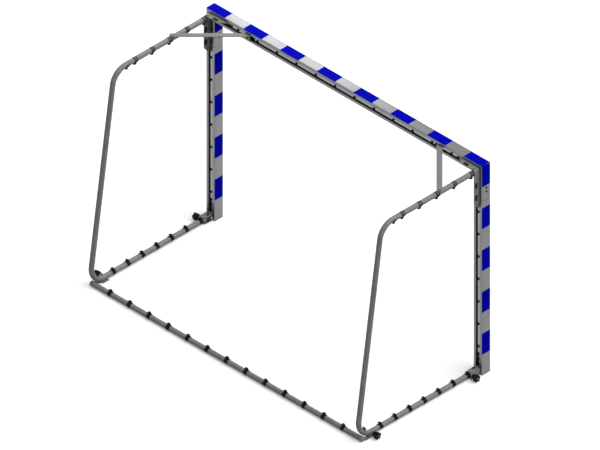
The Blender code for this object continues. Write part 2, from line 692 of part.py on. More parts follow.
def make_post_hook_rail(goal, prefix, side):
    places = row(POST_HOOK_FIRST, POST_HOOK_PITCH, JOINT_Z - RAIL_END)
    front = CHANNEL_FLOOR + GAP
    half = RAIL_WIDTH / 2
    strip = block((POST_X - half, front, places[0] - RAIL_END),
                  (POST_X + half, front + RAIL_THICK, places[-1] + RAIL_END))
    rail = put(f"{prefix}_post_hook_rail", strip, (POST_X, CHANNEL_FLOOR, places[0]),
               "black plastic", goal, side)
    weld_on(rail, *[rail_hook((POST_X, 0, z), "Z") for z in places])


def leg_y(height):
    """Where the leaning rear leg's axis is at a height: it runs tangent to the lower bend."""
    rise = (height - LOWER_BEND.z) * math.sin(LEG_LEAN)
    return LOWER_BEND.y + (TUBE_BEND - rise) / math.cos(LEG_LEAN)


def upper_bend_centre():
    turn = math.radians(90) - LEG_LEAN
    start = leg_y(UPPER_Z) - TUBE_BEND * math.tan(turn / 2)
    return Vector((POST_X, start, UPPER_Z - TUBE_BEND))


def hoop_path():
    lean = math.degrees(LEG_LEAN)
    lower = arc(LOWER_BEND.yz, TUBE_BEND, -90, lean, BEND_STEPS)
    upper = arc(upper_bend_centre().yz, TUBE_BEND, lean, 90, BEND_STEPS)
    route = [(HOOP_START_Y, LOWER_Z)] + lower + upper + [(HOOP_START_Y, UPPER_Z)]
    return [(POST_X, y, z) for y, z in route]


def tube_mesh(points):
    """The open skin of a tube along a path. Its wall comes from Solidify."""
    curve = bpy.data.curves.new("tube", "CURVE")
    curve.dimensions = "3D"
    curve.bevel_depth = TUBE_RADIUS
    curve.bevel_resolution = ROUND_SIDES // 2 - 2
    add_spline(curve, points, False)
    return curve_mesh(curve)


def give_wall(piece):
    wall = piece.modifiers.new("wall", "SOLIDIFY")
    wall.thickness = TUBE_WALL
    wall.offset = -1


def frame_at(point, along, radial):
    """A frame on a tube's axis, with its X along the tube and its Z towards the clip's hook."""
    along, radial = Vector(along).normalized(), Vector(radial).normalized()
    turn = Matrix((along, radial.cross(along), radial)).transposed()
    return Matrix.Translation(point) @ turn.to_4x4()


def clip_hook(place):
    """A clip's saddle and hook, rooted in the tube's wall, with its lip along the tube."""
    root = TUBE_RADIUS - CLIP_ROOT
    saddle = TUBE_RADIUS + CLIP_SADDLE
    top = TUBE_RADIUS + BAND + CLIP_RISE
    stem, half = CLIP_STEM / 2, CLIP_LENGTH / 2
    outline = [(-half, root), (half, root), (half, saddle), (stem, saddle), (stem, top - CLIP_LIP),
               (stem + CLIP_REACH, top - CLIP_LIP), (stem + CLIP_REACH, top), (-stem, top),
               (-stem, saddle), (-half, saddle)]
    mesh = prism("XZ", -CLIP_WIDTH / 2, CLIP_WIDTH / 2, outline)
    mesh.transform(place)
    return mesh


def hoop_clip_places():
    places = []
    upper_first = HOOP_START_Y + UPPER_CLIP_START
    upper_last = leg_y(UPPER_Z) - UPPER_BEND_CLIP_INSET
    for y in row(upper_first, UPPER_CLIP_PITCH, upper_last - CLIP_END_ROOM):
        places.append(frame_at((POST_X, y, UPPER_Z), (0, 1, 0), (0, 0, -1)))
    places.append(frame_at((POST_X, upper_last, UPPER_Z), (0, -1, 0), (0, 0, -1)))
    for y in row(HOOP_START_Y + LOWER_CLIP_START, LOWER_CLIP_PITCH, CLAMP_FRONT - CLIP_END_ROOM):
        places.append(frame_at((POST_X, y, LOWER_Z), (0, 1, 0), (0, 0, 1)))
    outward = Vector((0, math.cos(LOWER_BEND_CLIP_ANGLE), math.sin(LOWER_BEND_CLIP_ANGLE)))
    along = Vector((0, -outward.z, outward.y))
    places.append(frame_at(LOWER_BEND + outward * TUBE_BEND, along, -outward))
    return places


def make_hoop(carrier, prefix, side):
    hoop = put(f"{prefix}_hoop", tube_mesh(hoop_path()), (HINGE_X, HINGE_Y, 0), "zinc tube",
               carrier, side)
    give_wall(hoop)
    weld_on(hoop, *[clip_hook(place) for place in hoop_clip_places()])
    cut(hoop, rod(PIVOT_RADIUS + HOLE_PLAY, (POST_X, STRUT_BOLT_Y, UPPER_Z - TUBE),
                  (POST_X, STRUT_BOLT_Y, UPPER_Z + TUBE)))


def make_hinge_lug(carrier, prefix, side):
    low, high = EYE_LOW, EYE_LOW + EYE_THICK
    plug_start = HOOP_START_Y + GAP
    plug = rod(TUBE_BORE - PLUG_PLAY, (POST_X, plug_start, UPPER_Z),
               (POST_X, plug_start + PLUG_LENGTH, UPPER_Z))
    lug = put(f"{prefix}_hinge_lug", plug, (HINGE_X, HINGE_Y, low), "zinc plate", carrier, side)
    half = EYE_NECK / 2
    back = plug_start + PLUG_LENGTH / 2
    mouth = HOOP_START_Y - GAP
    outline = ([(POST_X + half, mouth), (POST_X + half, back), (POST_X - half, back),
                (POST_X - half, mouth)] + arc((HINGE_X, HINGE_Y), EYE_RADIUS, 150, 390, 10))
    weld_on(lug, prism("XY", low, high, outline))
    weld_on(lug, rod(EYE_BOSS_RADIUS, (HINGE_X, HINGE_Y, high - EYE_THICK / 2),
                     (HINGE_X, HINGE_Y, ARM_UNDER - GAP)))
    cut(lug, rod(PIVOT_RADIUS + HOLE_PLAY, (HINGE_X, HINGE_Y, low - EYE_THICK),
                 (HINGE_X, HINGE_Y, ARM_TOP)))


def make_pivot_block(carrier, prefix, side):
    low = EAR_TOP_OF_LOWER + FOLD_PLAY
    high = EAR_UNDER_OF_UPPER - FOLD_PLAY
    body = block((HINGE_X - BLOCK_HALF, HINGE_Y - BLOCK_HALF, low),
                 (HINGE_X + BLOCK_HALF, HOOP_START_Y - GAP, high))
    pivot_block = put(f"{prefix}_pivot_block", body, (HINGE_X, HINGE_Y, 0), "dark steel", carrier, side)
    weld_on(pivot_block, rod(TUBE_BORE - PLUG_PLAY,
                             (POST_X, HINGE_Y + PIVOT_RADIUS * 2, LOWER_Z),
                             (POST_X, HOOP_START_Y + PLUG_LENGTH, LOWER_Z)))
    cut(pivot_block, rod(PIVOT_RADIUS + HOLE_PLAY, (HINGE_X, HINGE_Y, low - EAR),
                         (HINGE_X, HINGE_Y, high + EAR)))


def make_strut_bolt(carrier, prefix, side):
    """A shouldered bolt: head, the strut's grip, a collar on the tube, and a nut under the tube."""
    seat = STRUT_TOP + GAP
    collar_top = STRUT_UNDER - GAP - seat
    collar_bottom = UPPER_Z + TUBE_RADIUS + GAP - seat
    nut_top = UPPER_Z - TUBE_RADIUS - GAP - seat
    wide, shank = NUT_RADIUS, PIVOT_RADIUS
    profile = [(0, PIVOT_HEAD), (wide, PIVOT_HEAD), (wide, 0), (shank, 0), (shank, collar_top),
               (wide, collar_top), (wide, collar_bottom), (shank, collar_bottom), (shank, nut_top),
               (wide, nut_top), (wide, nut_top - NUT), (0, nut_top - NUT)]
    turned(f"{prefix}_strut_bolt", profile, (POST_X, STRUT_BOLT_Y, seat), (0, 0, 1),
           "zinc screw", carrier, side)


def make_strut(carrier, prefix, side):
    length = STRUT_RUN * math.sqrt(2)
    half = STRUT_WIDTH / 2
    outline = arc((0, 0), half, 90, -90, 8) + arc((-length, 0), half, 270, 90, 8)
    holes = [arc((x, 0), PIVOT_RADIUS + HOLE_PLAY, 0, 330, 11) for x in (0, -length)]
    mesh = prism("XY", STRUT_UNDER, STRUT_TOP, outline, *holes)
    mesh.transform(Matrix.Rotation(math.radians(45), 4, "Z"))
    mesh.transform(Matrix.Translation((POST_X, STRUT_BOLT_Y, 0)))
    put(f"{prefix}_strut", mesh, (POST_X, STRUT_BOLT_Y, STRUT_UNDER), "zinc plate", carrier, side)


def make_ground_bar(carrier):
    axis = [(-BAR_HALF, BAR_Y, TUBE_RADIUS), (BAR_HALF, BAR_Y, TUBE_RADIUS)]
    bar = put("ground_bar", tube_mesh(axis), (0, BAR_Y, TUBE_RADIUS), "zinc tube", carrier)
    give_wall(bar)
    half_row = row(BAR_CLIP_PITCH, BAR_CLIP_PITCH, POST_X - BAR_CLIP_END_ROOM)
    places = [frame_at((x, BAR_Y, TUBE_RADIUS), (1, 0, 0), (0, 0, 1))
              for x in [-x for x in half_row] + [0] + half_row]
    weld_on(bar, *[clip_hook(place) for place in places])


def make_bar_end_cap(carrier, prefix, side):
    cap = put(f"{prefix}_bar_end_cap",
              rod(TUBE_RADIUS, (BAR_HALF + GAP, BAR_Y, TUBE_RADIUS),
                  (BAR_HALF + BAR_CAP, BAR_Y, TUBE_RADIUS), 2 * ROUND_SIDES),
              (BAR_HALF, BAR_Y, TUBE_RADIUS), "black plastic", carrier, side)
    weld_on(cap, rod(TUBE_BORE - PLUG_PLAY,
                     (BAR_HALF - PLUG_LENGTH, BAR_Y, TUBE_RADIUS),
                     (BAR_HALF + BAR_CAP / 2, BAR_Y, TUBE_RADIUS)))


def make_bar_clamp(carrier, prefix, side):
    """An angle welded to the bar's front: its base runs under the hoop, its upright outside it."""
    section = [(POST_X - CLAMP_INNER, CLAMP_BOTTOM), (WEB_OUTER, CLAMP_BOTTOM),
               (WEB_OUTER, CLAMP_UPRIGHT_TOP), (WEB_INNER, CLAMP_UPRIGHT_TOP),
               (WEB_INNER, CLAMP_BOTTOM + CLAMP_PLATE),
               (POST_X - CLAMP_INNER, CLAMP_BOTTOM + CLAMP_PLATE)]
    mesh = prism("XZ", CLAMP_FRONT, CLAMP_BACK, section)
    clamp = put(f"{prefix}_bar_clamp", mesh, (POST_X, BAR_Y, 0), "zinc plate", carrier, side)
    cut(clamp, rod(PIVOT_RADIUS + HOLE_PLAY, (WEB_INNER - GAP, REAR_KNOB_Y, LOWER_Z),
                   (WEB_OUTER + EAR, REAR_KNOB_Y, LOWER_Z)))


def make_knob(carrier, name, y, side):
    """A star knob and the stud moulded into it, which presses the tube through its plate."""
    stem_start = WEB_OUTER + 4 * GAP
    head_start = stem_start + KNOB_STEM
    outline = []
    for step in range(KNOB_SIDES):
        angle = 2 * math.pi * step / KNOB_SIDES
        radius = KNOB_RADIUS + KNOB_LOBE * math.cos(KNOB_LOBES * angle)
        outline.append((y + radius * math.sin(angle), LOWER_Z + radius * math.cos(angle)))
    knob = put(f"{name}_knob", prism("YZ", head_start, head_start + KNOB_HEAD, outline),
               (WEB_OUTER, y, LOWER_Z), "black plastic", carrier, side)
    weld_on(knob, rod(KNOB_STEM_RADIUS, (stem_start, y, LOWER_Z),
                      (head_start + KNOB_HEAD / 4, y, LOWER_Z)))
    bore_end = stem_start + KNOB_BORE_DEPTH
    cut(knob, rod(PIVOT_RADIUS + HOLE_PLAY, (stem_start - GAP, y, LOWER_Z), (bore_end, y, LOWER_Z)))
    tip = POST_X + TUBE_RADIUS + 2 * GAP
    put(f"{name}_knob_stud", rod(PIVOT_RADIUS, (tip, y, LOWER_Z), (bore_end - GAP, y, LOWER_Z)),
        (WEB_OUTER, y, LOWER_Z), "zinc screw", carrier, side)


FRAME_SIDE_PIECES = (make_corner_stub, make_post, make_joint_sleeve, make_joint_bolts,
                     make_foot_cap, make_corner_bracket, make_bracket_bolts,
                     make_upper_hinge_bolt, make_foot_bracket, make_foot_bracket_bolts,
                     make_lower_hinge_bolt, make_strut_catch, make_post_hook_rail)


def make_side(goal, bar_slide, prefix, side):
    for make in FRAME_SIDE_PIECES:
        make(goal, prefix, side)
    hoop_hinge = pivot(f"{prefix}_hoop_hinge", (side * HINGE_X, HINGE_Y, 0), goal)
    for make in (make_hoop, make_hinge_lug, make_pivot_block, make_strut_bolt):
        make(hoop_hinge, prefix, side)
    strut_hinge = pivot(f"{prefix}_strut_hinge", (side * POST_X, STRUT_BOLT_Y, STRUT_UNDER),
                        hoop_hinge)
    make_strut(strut_hinge, prefix, side)
    make_bar_end_cap(bar_slide, prefix, side)
    make_bar_clamp(bar_slide, prefix, side)
    front = pivot(f"{prefix}_front_knob_axis", (side * WEB_OUTER, FRONT_KNOB_Y, LOWER_Z), goal)
    make_knob(front, f"{prefix}_front", FRONT_KNOB_Y, side)
    rear = pivot(f"{prefix}_rear_knob_axis", (side * WEB_OUTER, REAR_KNOB_Y, LOWER_Z), bar_slide)
    make_knob(rear, f"{prefix}_rear", REAR_KNOB_Y, side)


def main():
    goal = pivot("goal", (0, 0, 0))
    goal.location.y = -OVERALL_DEPTH / 2
    bar_slide = pivot("ground_bar_slide", (0, BAR_Y, TUBE_RADIUS), goal)
    make_crossbar(goal)
    make_crossbar_hook_rail(goal)
    make_ground_bar(bar_slide)
    for prefix, side in (("left", -1), ("right", 1)):
        make_side(goal, bar_slide, prefix, side)


main()
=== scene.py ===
# %% [markdown]
# # A mini handball goal, from its imported frame to a finished picture
#
# The goal is two striped aluminium posts and a crossbar, two tubular side hoops that fold in behind
# them, and a ground bar that clamps on at the back. The frame holds every piece at its real size. This
# lesson keeps that frame as its ruler: places are read from it, and each visible piece is then modelled
# again with the finer edges, clips and finishes that the real one shows.
#
# All lengths are in metres. X runs across the goal, Y from its front to its back, Z up.

# %% Load the frame
import json
import math

import bmesh
import bpy
from mathutils import Matrix, Vector


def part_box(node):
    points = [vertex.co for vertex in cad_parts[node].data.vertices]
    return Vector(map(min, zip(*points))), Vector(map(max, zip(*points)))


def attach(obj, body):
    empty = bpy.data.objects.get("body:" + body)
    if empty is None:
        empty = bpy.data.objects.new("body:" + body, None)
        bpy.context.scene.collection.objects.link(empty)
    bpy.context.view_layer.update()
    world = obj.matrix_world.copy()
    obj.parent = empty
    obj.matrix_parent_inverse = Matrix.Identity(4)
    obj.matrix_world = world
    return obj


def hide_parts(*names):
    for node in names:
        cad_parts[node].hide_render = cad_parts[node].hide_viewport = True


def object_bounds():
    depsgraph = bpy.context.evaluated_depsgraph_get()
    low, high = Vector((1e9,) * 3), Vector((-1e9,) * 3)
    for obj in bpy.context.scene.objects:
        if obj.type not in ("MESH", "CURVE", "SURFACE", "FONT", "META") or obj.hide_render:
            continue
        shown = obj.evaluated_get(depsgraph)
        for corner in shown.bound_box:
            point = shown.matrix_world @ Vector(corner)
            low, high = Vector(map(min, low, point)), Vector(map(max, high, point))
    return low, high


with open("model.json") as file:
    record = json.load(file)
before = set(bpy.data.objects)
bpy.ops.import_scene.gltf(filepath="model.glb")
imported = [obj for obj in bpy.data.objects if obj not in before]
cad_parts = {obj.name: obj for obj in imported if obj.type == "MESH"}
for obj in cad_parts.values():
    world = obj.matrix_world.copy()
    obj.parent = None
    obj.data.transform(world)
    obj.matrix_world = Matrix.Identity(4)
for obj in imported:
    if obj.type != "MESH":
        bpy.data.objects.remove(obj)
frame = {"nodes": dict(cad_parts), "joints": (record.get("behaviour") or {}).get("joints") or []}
size_of_frame = [list(corner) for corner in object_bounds()]

# %% [markdown]
# ## Places read from the frame
#
# A measure is taken from the node that shows it best: the posts give the width of the profile, an
# end cap gives the diameter of the tube, and a joint's position gives its axis. Only the right side
# is measured and drawn. The left side is its mirror image.

# %% Measures
def middle(node):
    low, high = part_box(node)
    return (low + high) / 2


post_low, post_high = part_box("right_post")
cap_low, cap_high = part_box("right_bar_end_cap")
FRONT = post_low.y
PROFILE = post_high.x - post_low.x
POST_X = middle("right_post").x
POST_FOOT = post_low.z
HALF_WIDTH = post_high.x
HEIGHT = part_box("crossbar")[1].z
BAR_Z = HEIGHT - PROFILE / 2
JOINT_Z = post_high.z
TUBE_RADIUS = (cap_high.z - cap_low.z) / 2
BAR_AXIS = middle("right_bar_end_cap")
LOWER_Z = middle("right_front_knob_stud").z
STRUT_ROOM = 0.0018
UPPER_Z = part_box("right_strut")[0].z - STRUT_ROOM - TUBE_RADIUS
HINGE = next(Vector(joint["pos_m"]) for joint in frame["joints"]
             if joint["name"] == "right_hoop_fold")
SIDES = (("left", -1), ("right", 1))
LEVELS = ("lower", "upper")
print(f"profile {PROFILE * 1000:.1f} mm, tube {TUBE_RADIUS * 2000:.1f} mm, height {HEIGHT:.3f} m")

# %% [markdown]
# ## The camera
#
# The reference view is a parallel projection, as a drawing office makes it: an isometric view from
# behind and above the goal. An orthographic camera gives that. Its distance has no effect on the
# picture, so it only has to stand clear of the goal, and its scale is the width of the picture in
# metres.

# %% Camera
IMAGE_WIDTH_PX = 600
MM_PER_PX = 1 / 0.1524
VIEW_CENTRE = Vector((-0.112, -0.0015, 0.888))
ISOMETRIC_BACK = Vector((-1, 1, 1)).normalized()
CAMERA_DISTANCE = 9
put_in_scene = bpy.context.scene.collection.objects.link

camera_data = bpy.data.cameras.new("isometric_camera")
camera_data.type = "ORTHO"
camera_data.ortho_scale = IMAGE_WIDTH_PX * MM_PER_PX / 1000
camera_data.clip_end = 60
camera = bpy.data.objects.new("isometric_camera", camera_data)
camera.location = VIEW_CENTRE + ISOMETRIC_BACK * CAMERA_DISTANCE
camera.rotation_euler = ISOMETRIC_BACK.to_track_quat("Z", "Y").to_euler()
put_in_scene(camera)
bpy.context.scene.camera = camera
print("the picture is", round(camera_data.ortho_scale, 3), "m wide")

# %% [markdown]
# ## Colours and nodes
#
# Colours are written as the sRGB hex values that a paint card or a picture shows. Blender's
# shaders work in linear light, so one function converts them. A second function adds a node with
# its settings and its links, and hands back the output that the next node needs. Two patterns are
# used by all finishes: noise whose grains have a real size, and a blend between two colours.

# %% Colour and node helpers
bpy.context.scene.view_settings.view_transform = "Standard"


def colour(hex_value):
    channels = [int(hex_value[i:i + 2], 16) / 255 for i in (1, 3, 5)]
    linear = [c / 12.92 if c <= 0.04045 else ((c + 0.055) / 1.055) ** 2.4 for c in channels]
    return (*linear, 1)


def add_node(tree, kind, inputs=(), output=0, **settings):
    """Adds a node and returns one output. An input is a value or the output of another node."""
    node = tree.nodes.new("ShaderNode" + kind)
    for name, value in settings.items():
        setattr(node, name, value)
    for key, value in (inputs if isinstance(inputs, dict) else dict(enumerate(inputs))).items():
        if isinstance(value, bpy.types.NodeSocket):
            tree.links.new(value, node.inputs[key])
        else:
            node.inputs[key].default_value = value
    return node.outputs[output] if node.outputs else None


def patches(tree, size_mm, detail=2.0):
    """Noise whose patches have a size in millimetres along X, Y and Z of the object."""
    place = add_node(tree, "TexCoord", output="Object")
    scale = [1000 / size for size in size_mm]
    mapped = add_node(tree, "Mapping", {"Vector": place, "Scale": scale})
    return add_node(tree, "TexNoise", {"Vector": mapped, "Scale": 1.0, "Detail": detail})


def blend(tree, factor, start, end, dark, light):
    """Goes from one hex colour to another while a factor goes from start to end.

    A Mix node for colours has its factor at input 0, its colours at 6 and 7, its result at 2.
    """
    share = add_node(tree, "MapRange", (factor, start, end, 0, 1))
    return add_node(tree, "Mix", {0: share, 6: colour(dark), 7: colour(light)}, 2,
                    data_type="RGBA")


def empty_material(name):
    material = bpy.data.materials.new(name)
    material.use_nodes = True
    material.node_tree.nodes.clear()
    return material, material.node_tree


def add_surface(tree, inputs):
    add_node(tree, "OutputMaterial", {"Surface": add_node(tree, "BsdfPrincipled", inputs)})


print("#808080 is", round(colour("#808080")[0], 3), "in linear light")

# %% [markdown]
# ## Light and floor
#
# The reference has a soft light from above and the left, and a white ground. A pale world reaches
# every side. A large softbox overhead makes the tops the brightest, and a second one lights the
# faces that look to the left, so that the tubes that run back are lighter than the ground bar and
# the legs. A panel hangs where the crossbar's top mirrors it towards the viewer, and lifts the
# bare metal at one end of the bar nearly to white. What the camera and polished metal see of the
# world and of the floor is plain white, through Light Path, so the white never has to come from
# more light on the goal. For every other ray the floor is grey, so it throws little light upwards.

# %% World
SKY_STRENGTH = 0.22
world = bpy.data.worlds.new("pale_studio")
bpy.context.scene.world = world
world.use_nodes = True
sky = world.node_tree
sky.nodes.clear()
rays = add_node(sky, "LightPath").node.outputs
seen = rays["Is Camera Ray"]
for ray in ("Is Glossy Ray", "Is Transmission Ray"):
    seen = add_node(sky, "Math", (seen, rays[ray]), operation="MAXIMUM")
dim, white = [add_node(sky, "Background", {"Color": colour("#FFFFFF"), "Strength": strength})
              for strength in (SKY_STRENGTH, 1.0)]
add_node(sky, "OutputWorld", {"Surface": add_node(sky, "MixShader", (seen, dim, white))})
print("the sky's strength is", SKY_STRENGTH)

# %% Lamps
PANEL_SIZE = (1.55, 1.10)
PANEL_POWER = 19.0
PANEL_X = 0.66
PANEL_DISTANCE = 2.4


def axes(x_axis, y_axis, z_axis, origin):
    """The place of a thing whose own axes point along three given directions."""
    turn = Matrix((x_axis, y_axis, z_axis)).transposed().to_4x4()
    return Matrix.Translation(origin) @ turn


def hang_lamp(name, kind, power, place, **settings):
    lamp = bpy.data.lights.new(name, kind)
    lamp.energy = power
    for key, value in settings.items():
        setattr(lamp, key, value)
    holder = bpy.data.objects.new(name, lamp)
    holder.matrix_world = place
    put_in_scene(holder)
    print("lamp", name, "of", power)


for name, towards, power, softness in (("overhead_softbox", (-0.45, -0.35, 1), 1.90, 50),
                                       ("side_softbox", (-1, 0.15, 0.05), 0.48, 70)):
    turn = Vector(towards).to_track_quat("Z", "Y").to_matrix().to_4x4()
    hang_lamp(name, "SUN", power, turn, angle=math.radians(softness))

mirrored_view = Vector((-ISOMETRIC_BACK.x, -ISOMETRIC_BACK.y, ISOMETRIC_BACK.z))
along_bar = (Vector((1, 0, 0)) - mirrored_view * mirrored_view.x).normalized()
panel_place = axes(along_bar, mirrored_view.cross(along_bar), mirrored_view,
                   Vector((PANEL_X, FRONT, HEIGHT)) + mirrored_view * PANEL_DISTANCE)
hang_lamp("crossbar_panel", "AREA", PANEL_POWER, panel_place, shape="RECTANGLE",
          size=PANEL_SIZE[0], size_y=PANEL_SIZE[1])

# %% Floor
FLOOR_REACH = 14
FLOOR_BOUNCE = "#707070"
FLOOR_GLOW = 0.35
floor_bm = bmesh.new()
bmesh.ops.create_grid(floor_bm, x_segments=1, y_segments=1, size=FLOOR_REACH)
floor_mesh = bpy.data.meshes.new("studio_floor")
floor_bm.to_mesh(floor_mesh)
floor_bm.free()
floor = bpy.data.objects.new("studio_floor", floor_mesh)
put_in_scene(floor)
floor_material, tree = empty_material("matt_white_floor")
rays = add_node(tree, "LightPath").node.outputs
seen = add_node(tree, "Math", (rays["Is Camera Ray"], rays["Is Glossy Ray"]), operation="MAXIMUM")
paper = blend(tree, patches(tree, (900, 900, 900), 3.0), 0.3, 0.7, "#FCFCFC", "#FFFFFF")
add_surface(tree, {
    "Base Color": add_node(tree, "Mix", {0: seen, 6: colour(FLOOR_BOUNCE), 7: paper}, 2,
                           data_type="RGBA"),
    "Roughness": 0.9, "Specular IOR Level": 0.0, "Emission Color": paper,
    "Emission Strength": add_node(tree, "Math", (seen, FLOOR_GLOW), operation="MULTIPLY")})
floor_mesh.materials.append(floor_material)
print("the floor reaches", FLOOR_REACH, "m to each side")

# %% [markdown]
# ## Anodised aluminium with bands of film
#
# The profile is extruded aluminium, satin anodised. Extrusion leaves faint lines along the
# profile, which the colour, the roughness and the bump all take up. Every second band is wrapped
# in blue vinyl film: it covers the metal, so inside a band the surface stops being metallic and
# gets an even, low gloss. The film covers the front and both sides and ends at the back corners,
# so the back face and the channel stay bare. A wave would drift over the length, so the bands come
# from simple arithmetic on Object coordinates: distance along the profile, divided by the band's
# length, and the remainder of the count by two. The distance from the middle of the section says
# where the film is. The strips in the channels are the same metal, but drawn paler than the profile:
# painted light that stands in for the light the channel's shade takes from them. Real lines are some
# tenths of a millimetre apart, too fine to show, so they are drawn 2.2 mm apart.

# %% Striped profile material
CROSSBAR_BAND = 2 * HALF_WIDTH / 15
POST_BAND = HEIGHT / 10
FILM_EDGE = 0.0022
PROFILE_TONES = ("#747577", "#848586")
# Painted light: the strips are paler than the profile to offset the shade of the channel they lie in.
STRIP_PAINTED_LIGHT_TONES = ("#939495", "#A3A4A5")
FILM_TONES = ("#030ABC", "#040CCA")
DRAW_LINE_MM, DRAW_LENGTH_MM = 2.2, 420


def anodised_aluminium(name, along, tones, band_start=0.0, band_length=0.0):
    """Satin anodised aluminium, extruded along an axis. A band length adds the blue bands."""
    material, tree = empty_material(name)
    line_size = [DRAW_LENGTH_MM if axis == along else DRAW_LINE_MM for axis in "XYZ"]
    lines = patches(tree, line_size, 4.0)
    clouds = patches(tree, (130, 130, 130))
    tone = add_node(tree, "Mix", {0: 0.4, 2: lines, 3: clouds})
    metal = blend(tree, tone, 0.32, 0.68, *tones)
    metal_roughness = add_node(tree, "MapRange", (lines, 0, 1, 0.28, 0.42))
    if not band_length:
        relief = add_node(tree, "Bump", {"Height": lines, "Distance": 0.00004})
        add_surface(tree, {"Base Color": metal, "Metallic": 1.0, "Roughness": metal_roughness,
                           "Normal": relief})
        return material

    place = add_node(tree, "TexCoord", output="Object")
    axis = add_node(tree, "SeparateXYZ", {"Vector": place}).node.outputs
    across, middle_line = ("Z", BAR_Z) if along == "X" else ("X", POST_X)
    to_front = add_node(tree, "Math", (FRONT + PROFILE / 2, axis["Y"]), operation="SUBTRACT")
    in_band, film = axis[along], axis[across]
    for operation, operand in (("SUBTRACT", band_start), ("DIVIDE", band_length), ("ABSOLUTE", 0),
                               ("FLOOR", 0), ("FLOORED_MODULO", 2), ("LESS_THAN", 0.5)):
        in_band = add_node(tree, "Math", (in_band, operand), operation=operation)
    for operation, operand in (("ABSOLUTE", 0), ("SUBTRACT", middle_line), ("ABSOLUTE", 0),
                               ("MAXIMUM", to_front), ("GREATER_THAN", PROFILE / 2 - FILM_EDGE),
                               ("MULTIPLY", in_band)):
        film = add_node(tree, "Math", (film, operand), operation=operation)
    blue = blend(tree, clouds, 0.35, 0.65, *FILM_TONES)
    film_roughness = add_node(tree, "MapRange", (clouds, 0, 1, 0.55, 0.65))
    height = add_node(tree, "Math", (lines, 0.3, film), operation="MULTIPLY_ADD")
    add_surface(tree, {
        "Base Color": add_node(tree, "Mix", {0: film, 6: metal, 7: blue}, 2, data_type="RGBA"),
        "Metallic": add_node(tree, "Math", (1.0, film), operation="SUBTRACT"),
        "Roughness": add_node(tree, "Mix", {0: film, 2: metal_roughness, 3: film_roughness}),
        "Specular IOR Level": 0.008,
        "Normal": add_node(tree, "Bump", {"Height": height, "Distance": 0.00012})})
    return material


crossbar_finish = anodised_aluminium("anodised_crossbar", "X", PROFILE_TONES, -HALF_WIDTH,
                                     CROSSBAR_BAND)
post_finish = anodised_aluminium("anodised_post", "Z", PROFILE_TONES, HEIGHT, POST_BAND)
rail_x_finish = anodised_aluminium("anodised_rail_across", "X", STRIP_PAINTED_LIGHT_TONES)
rail_z_finish = anodised_aluminium("anodised_rail_upright", "Z", STRIP_PAINTED_LIGHT_TONES)
print(f"bands: {CROSSBAR_BAND * 1000:.1f} mm on the crossbar, {POST_BAND * 1000:.1f} mm on the posts")

# %% [markdown]
# ## Galvanised and zinc-plated steel
#
# The hoops and the ground bar are galvanised steel tube: grey, half matt, with the faint cloudy
# crystals of zinc. The plates and brackets are zinc plated after bending, a little lighter, with
# fine rolling marks. Screws are plated too, and polished by handling. The socket screws of the
# brackets and joints, the blocks in the lower hinges and the tongues at the feet are phosphated,
# which leaves them nearly black. The crystals on the tube are about 4 mm across. The grain of
# plated and phosphated parts is far below a millimetre, so it is drawn at 1.5 to 2.5 mm to show at
# all. One function makes all four, from two greys, the metallic share, the range of roughness, the
# size of clouds and crystals, and the height of the relief.

# %% Steel materials
def zinc_steel(name, light, dark, metallic, roughness, cloud_mm, crystal_mm, relief):
    material, tree = empty_material(name)
    clouds = patches(tree, (cloud_mm, cloud_mm, cloud_mm))
    crystals = add_node(tree, "TexVoronoi", {"Vector": add_node(tree, "TexCoord", output="Object"),
                                             "Scale": 1000 / crystal_mm})
    tone = add_node(tree, "Mix", {0: 0.15, 2: clouds, 3: crystals})
    add_surface(tree, {
        "Base Color": blend(tree, tone, 0.30, 0.68, dark, light), "Metallic": metallic,
        "Roughness": add_node(tree, "MapRange", (clouds, 0, 1, *roughness)),
        "Specular IOR Level": 0.3,
        "Normal": add_node(tree, "Bump", {"Height": crystals, "Distance": relief})})
    return material


tube_finish = zinc_steel("galvanised_tube", "#8C8C8C", "#7B7B7B", 0.12, (0.40, 0.56), 26, 4, 0.00005)
plate_finish = zinc_steel("zinc_plated_sheet", "#8F8F8E", "#7F7F7F", 0.06, (0.50, 0.64), 34, 2.5,
                          0.00003)
screw_finish = zinc_steel("zinc_plated_screw", "#B4B4B2", "#9C9C9A", 0.6, (0.24, 0.40), 9, 1.5,
                          0.00002)
dark_finish = zinc_steel("phosphated_steel", "#242426", "#161618", 0.3, (0.42, 0.60), 22, 2.5,
                         0.00004)
print("steel:", tube_finish.name, plate_finish.name, screw_finish.name, dark_finish.name)

# %% [markdown]
# ## Moulded polyamide
#
# Net clips, hooks, caps, catches and star knobs are injection moulded polyamide. Its tool is spark
# eroded, which leaves a fine grain on the skin, and where hands and nets rub it, it turns slightly
# glossier and paler. Real grain is about 0.1 mm, too fine to show, so it is drawn at 0.8 mm.

# %% Plastic materials
def moulded_polyamide(name, light, dark, gloss=0.25):
    material, tree = empty_material(name)
    clouds = patches(tree, (18, 18, 18))
    skin = patches(tree, (0.8, 0.8, 0.8))
    add_surface(tree, {
        "Base Color": blend(tree, clouds, 0.35, 0.65, dark, light),
        "Roughness": add_node(tree, "MapRange", (clouds, 0, 1, 0.34, 0.52)),
        "Specular IOR Level": gloss,
        "Normal": add_node(tree, "Bump", {"Height": skin, "Distance": 0.00005})})
    return material


black_finish = moulded_polyamide("black_polyamide", "#0B0B0D", "#060607", 0.10)
grey_finish = moulded_polyamide("grey_polyamide", "#626264", "#525254")
pale_finish = moulded_polyamide("pale_grey_polyamide", "#9C9C9C", "#8C8C8C")
print("plastic:", black_finish.name, grey_finish.name, pale_finish.name)
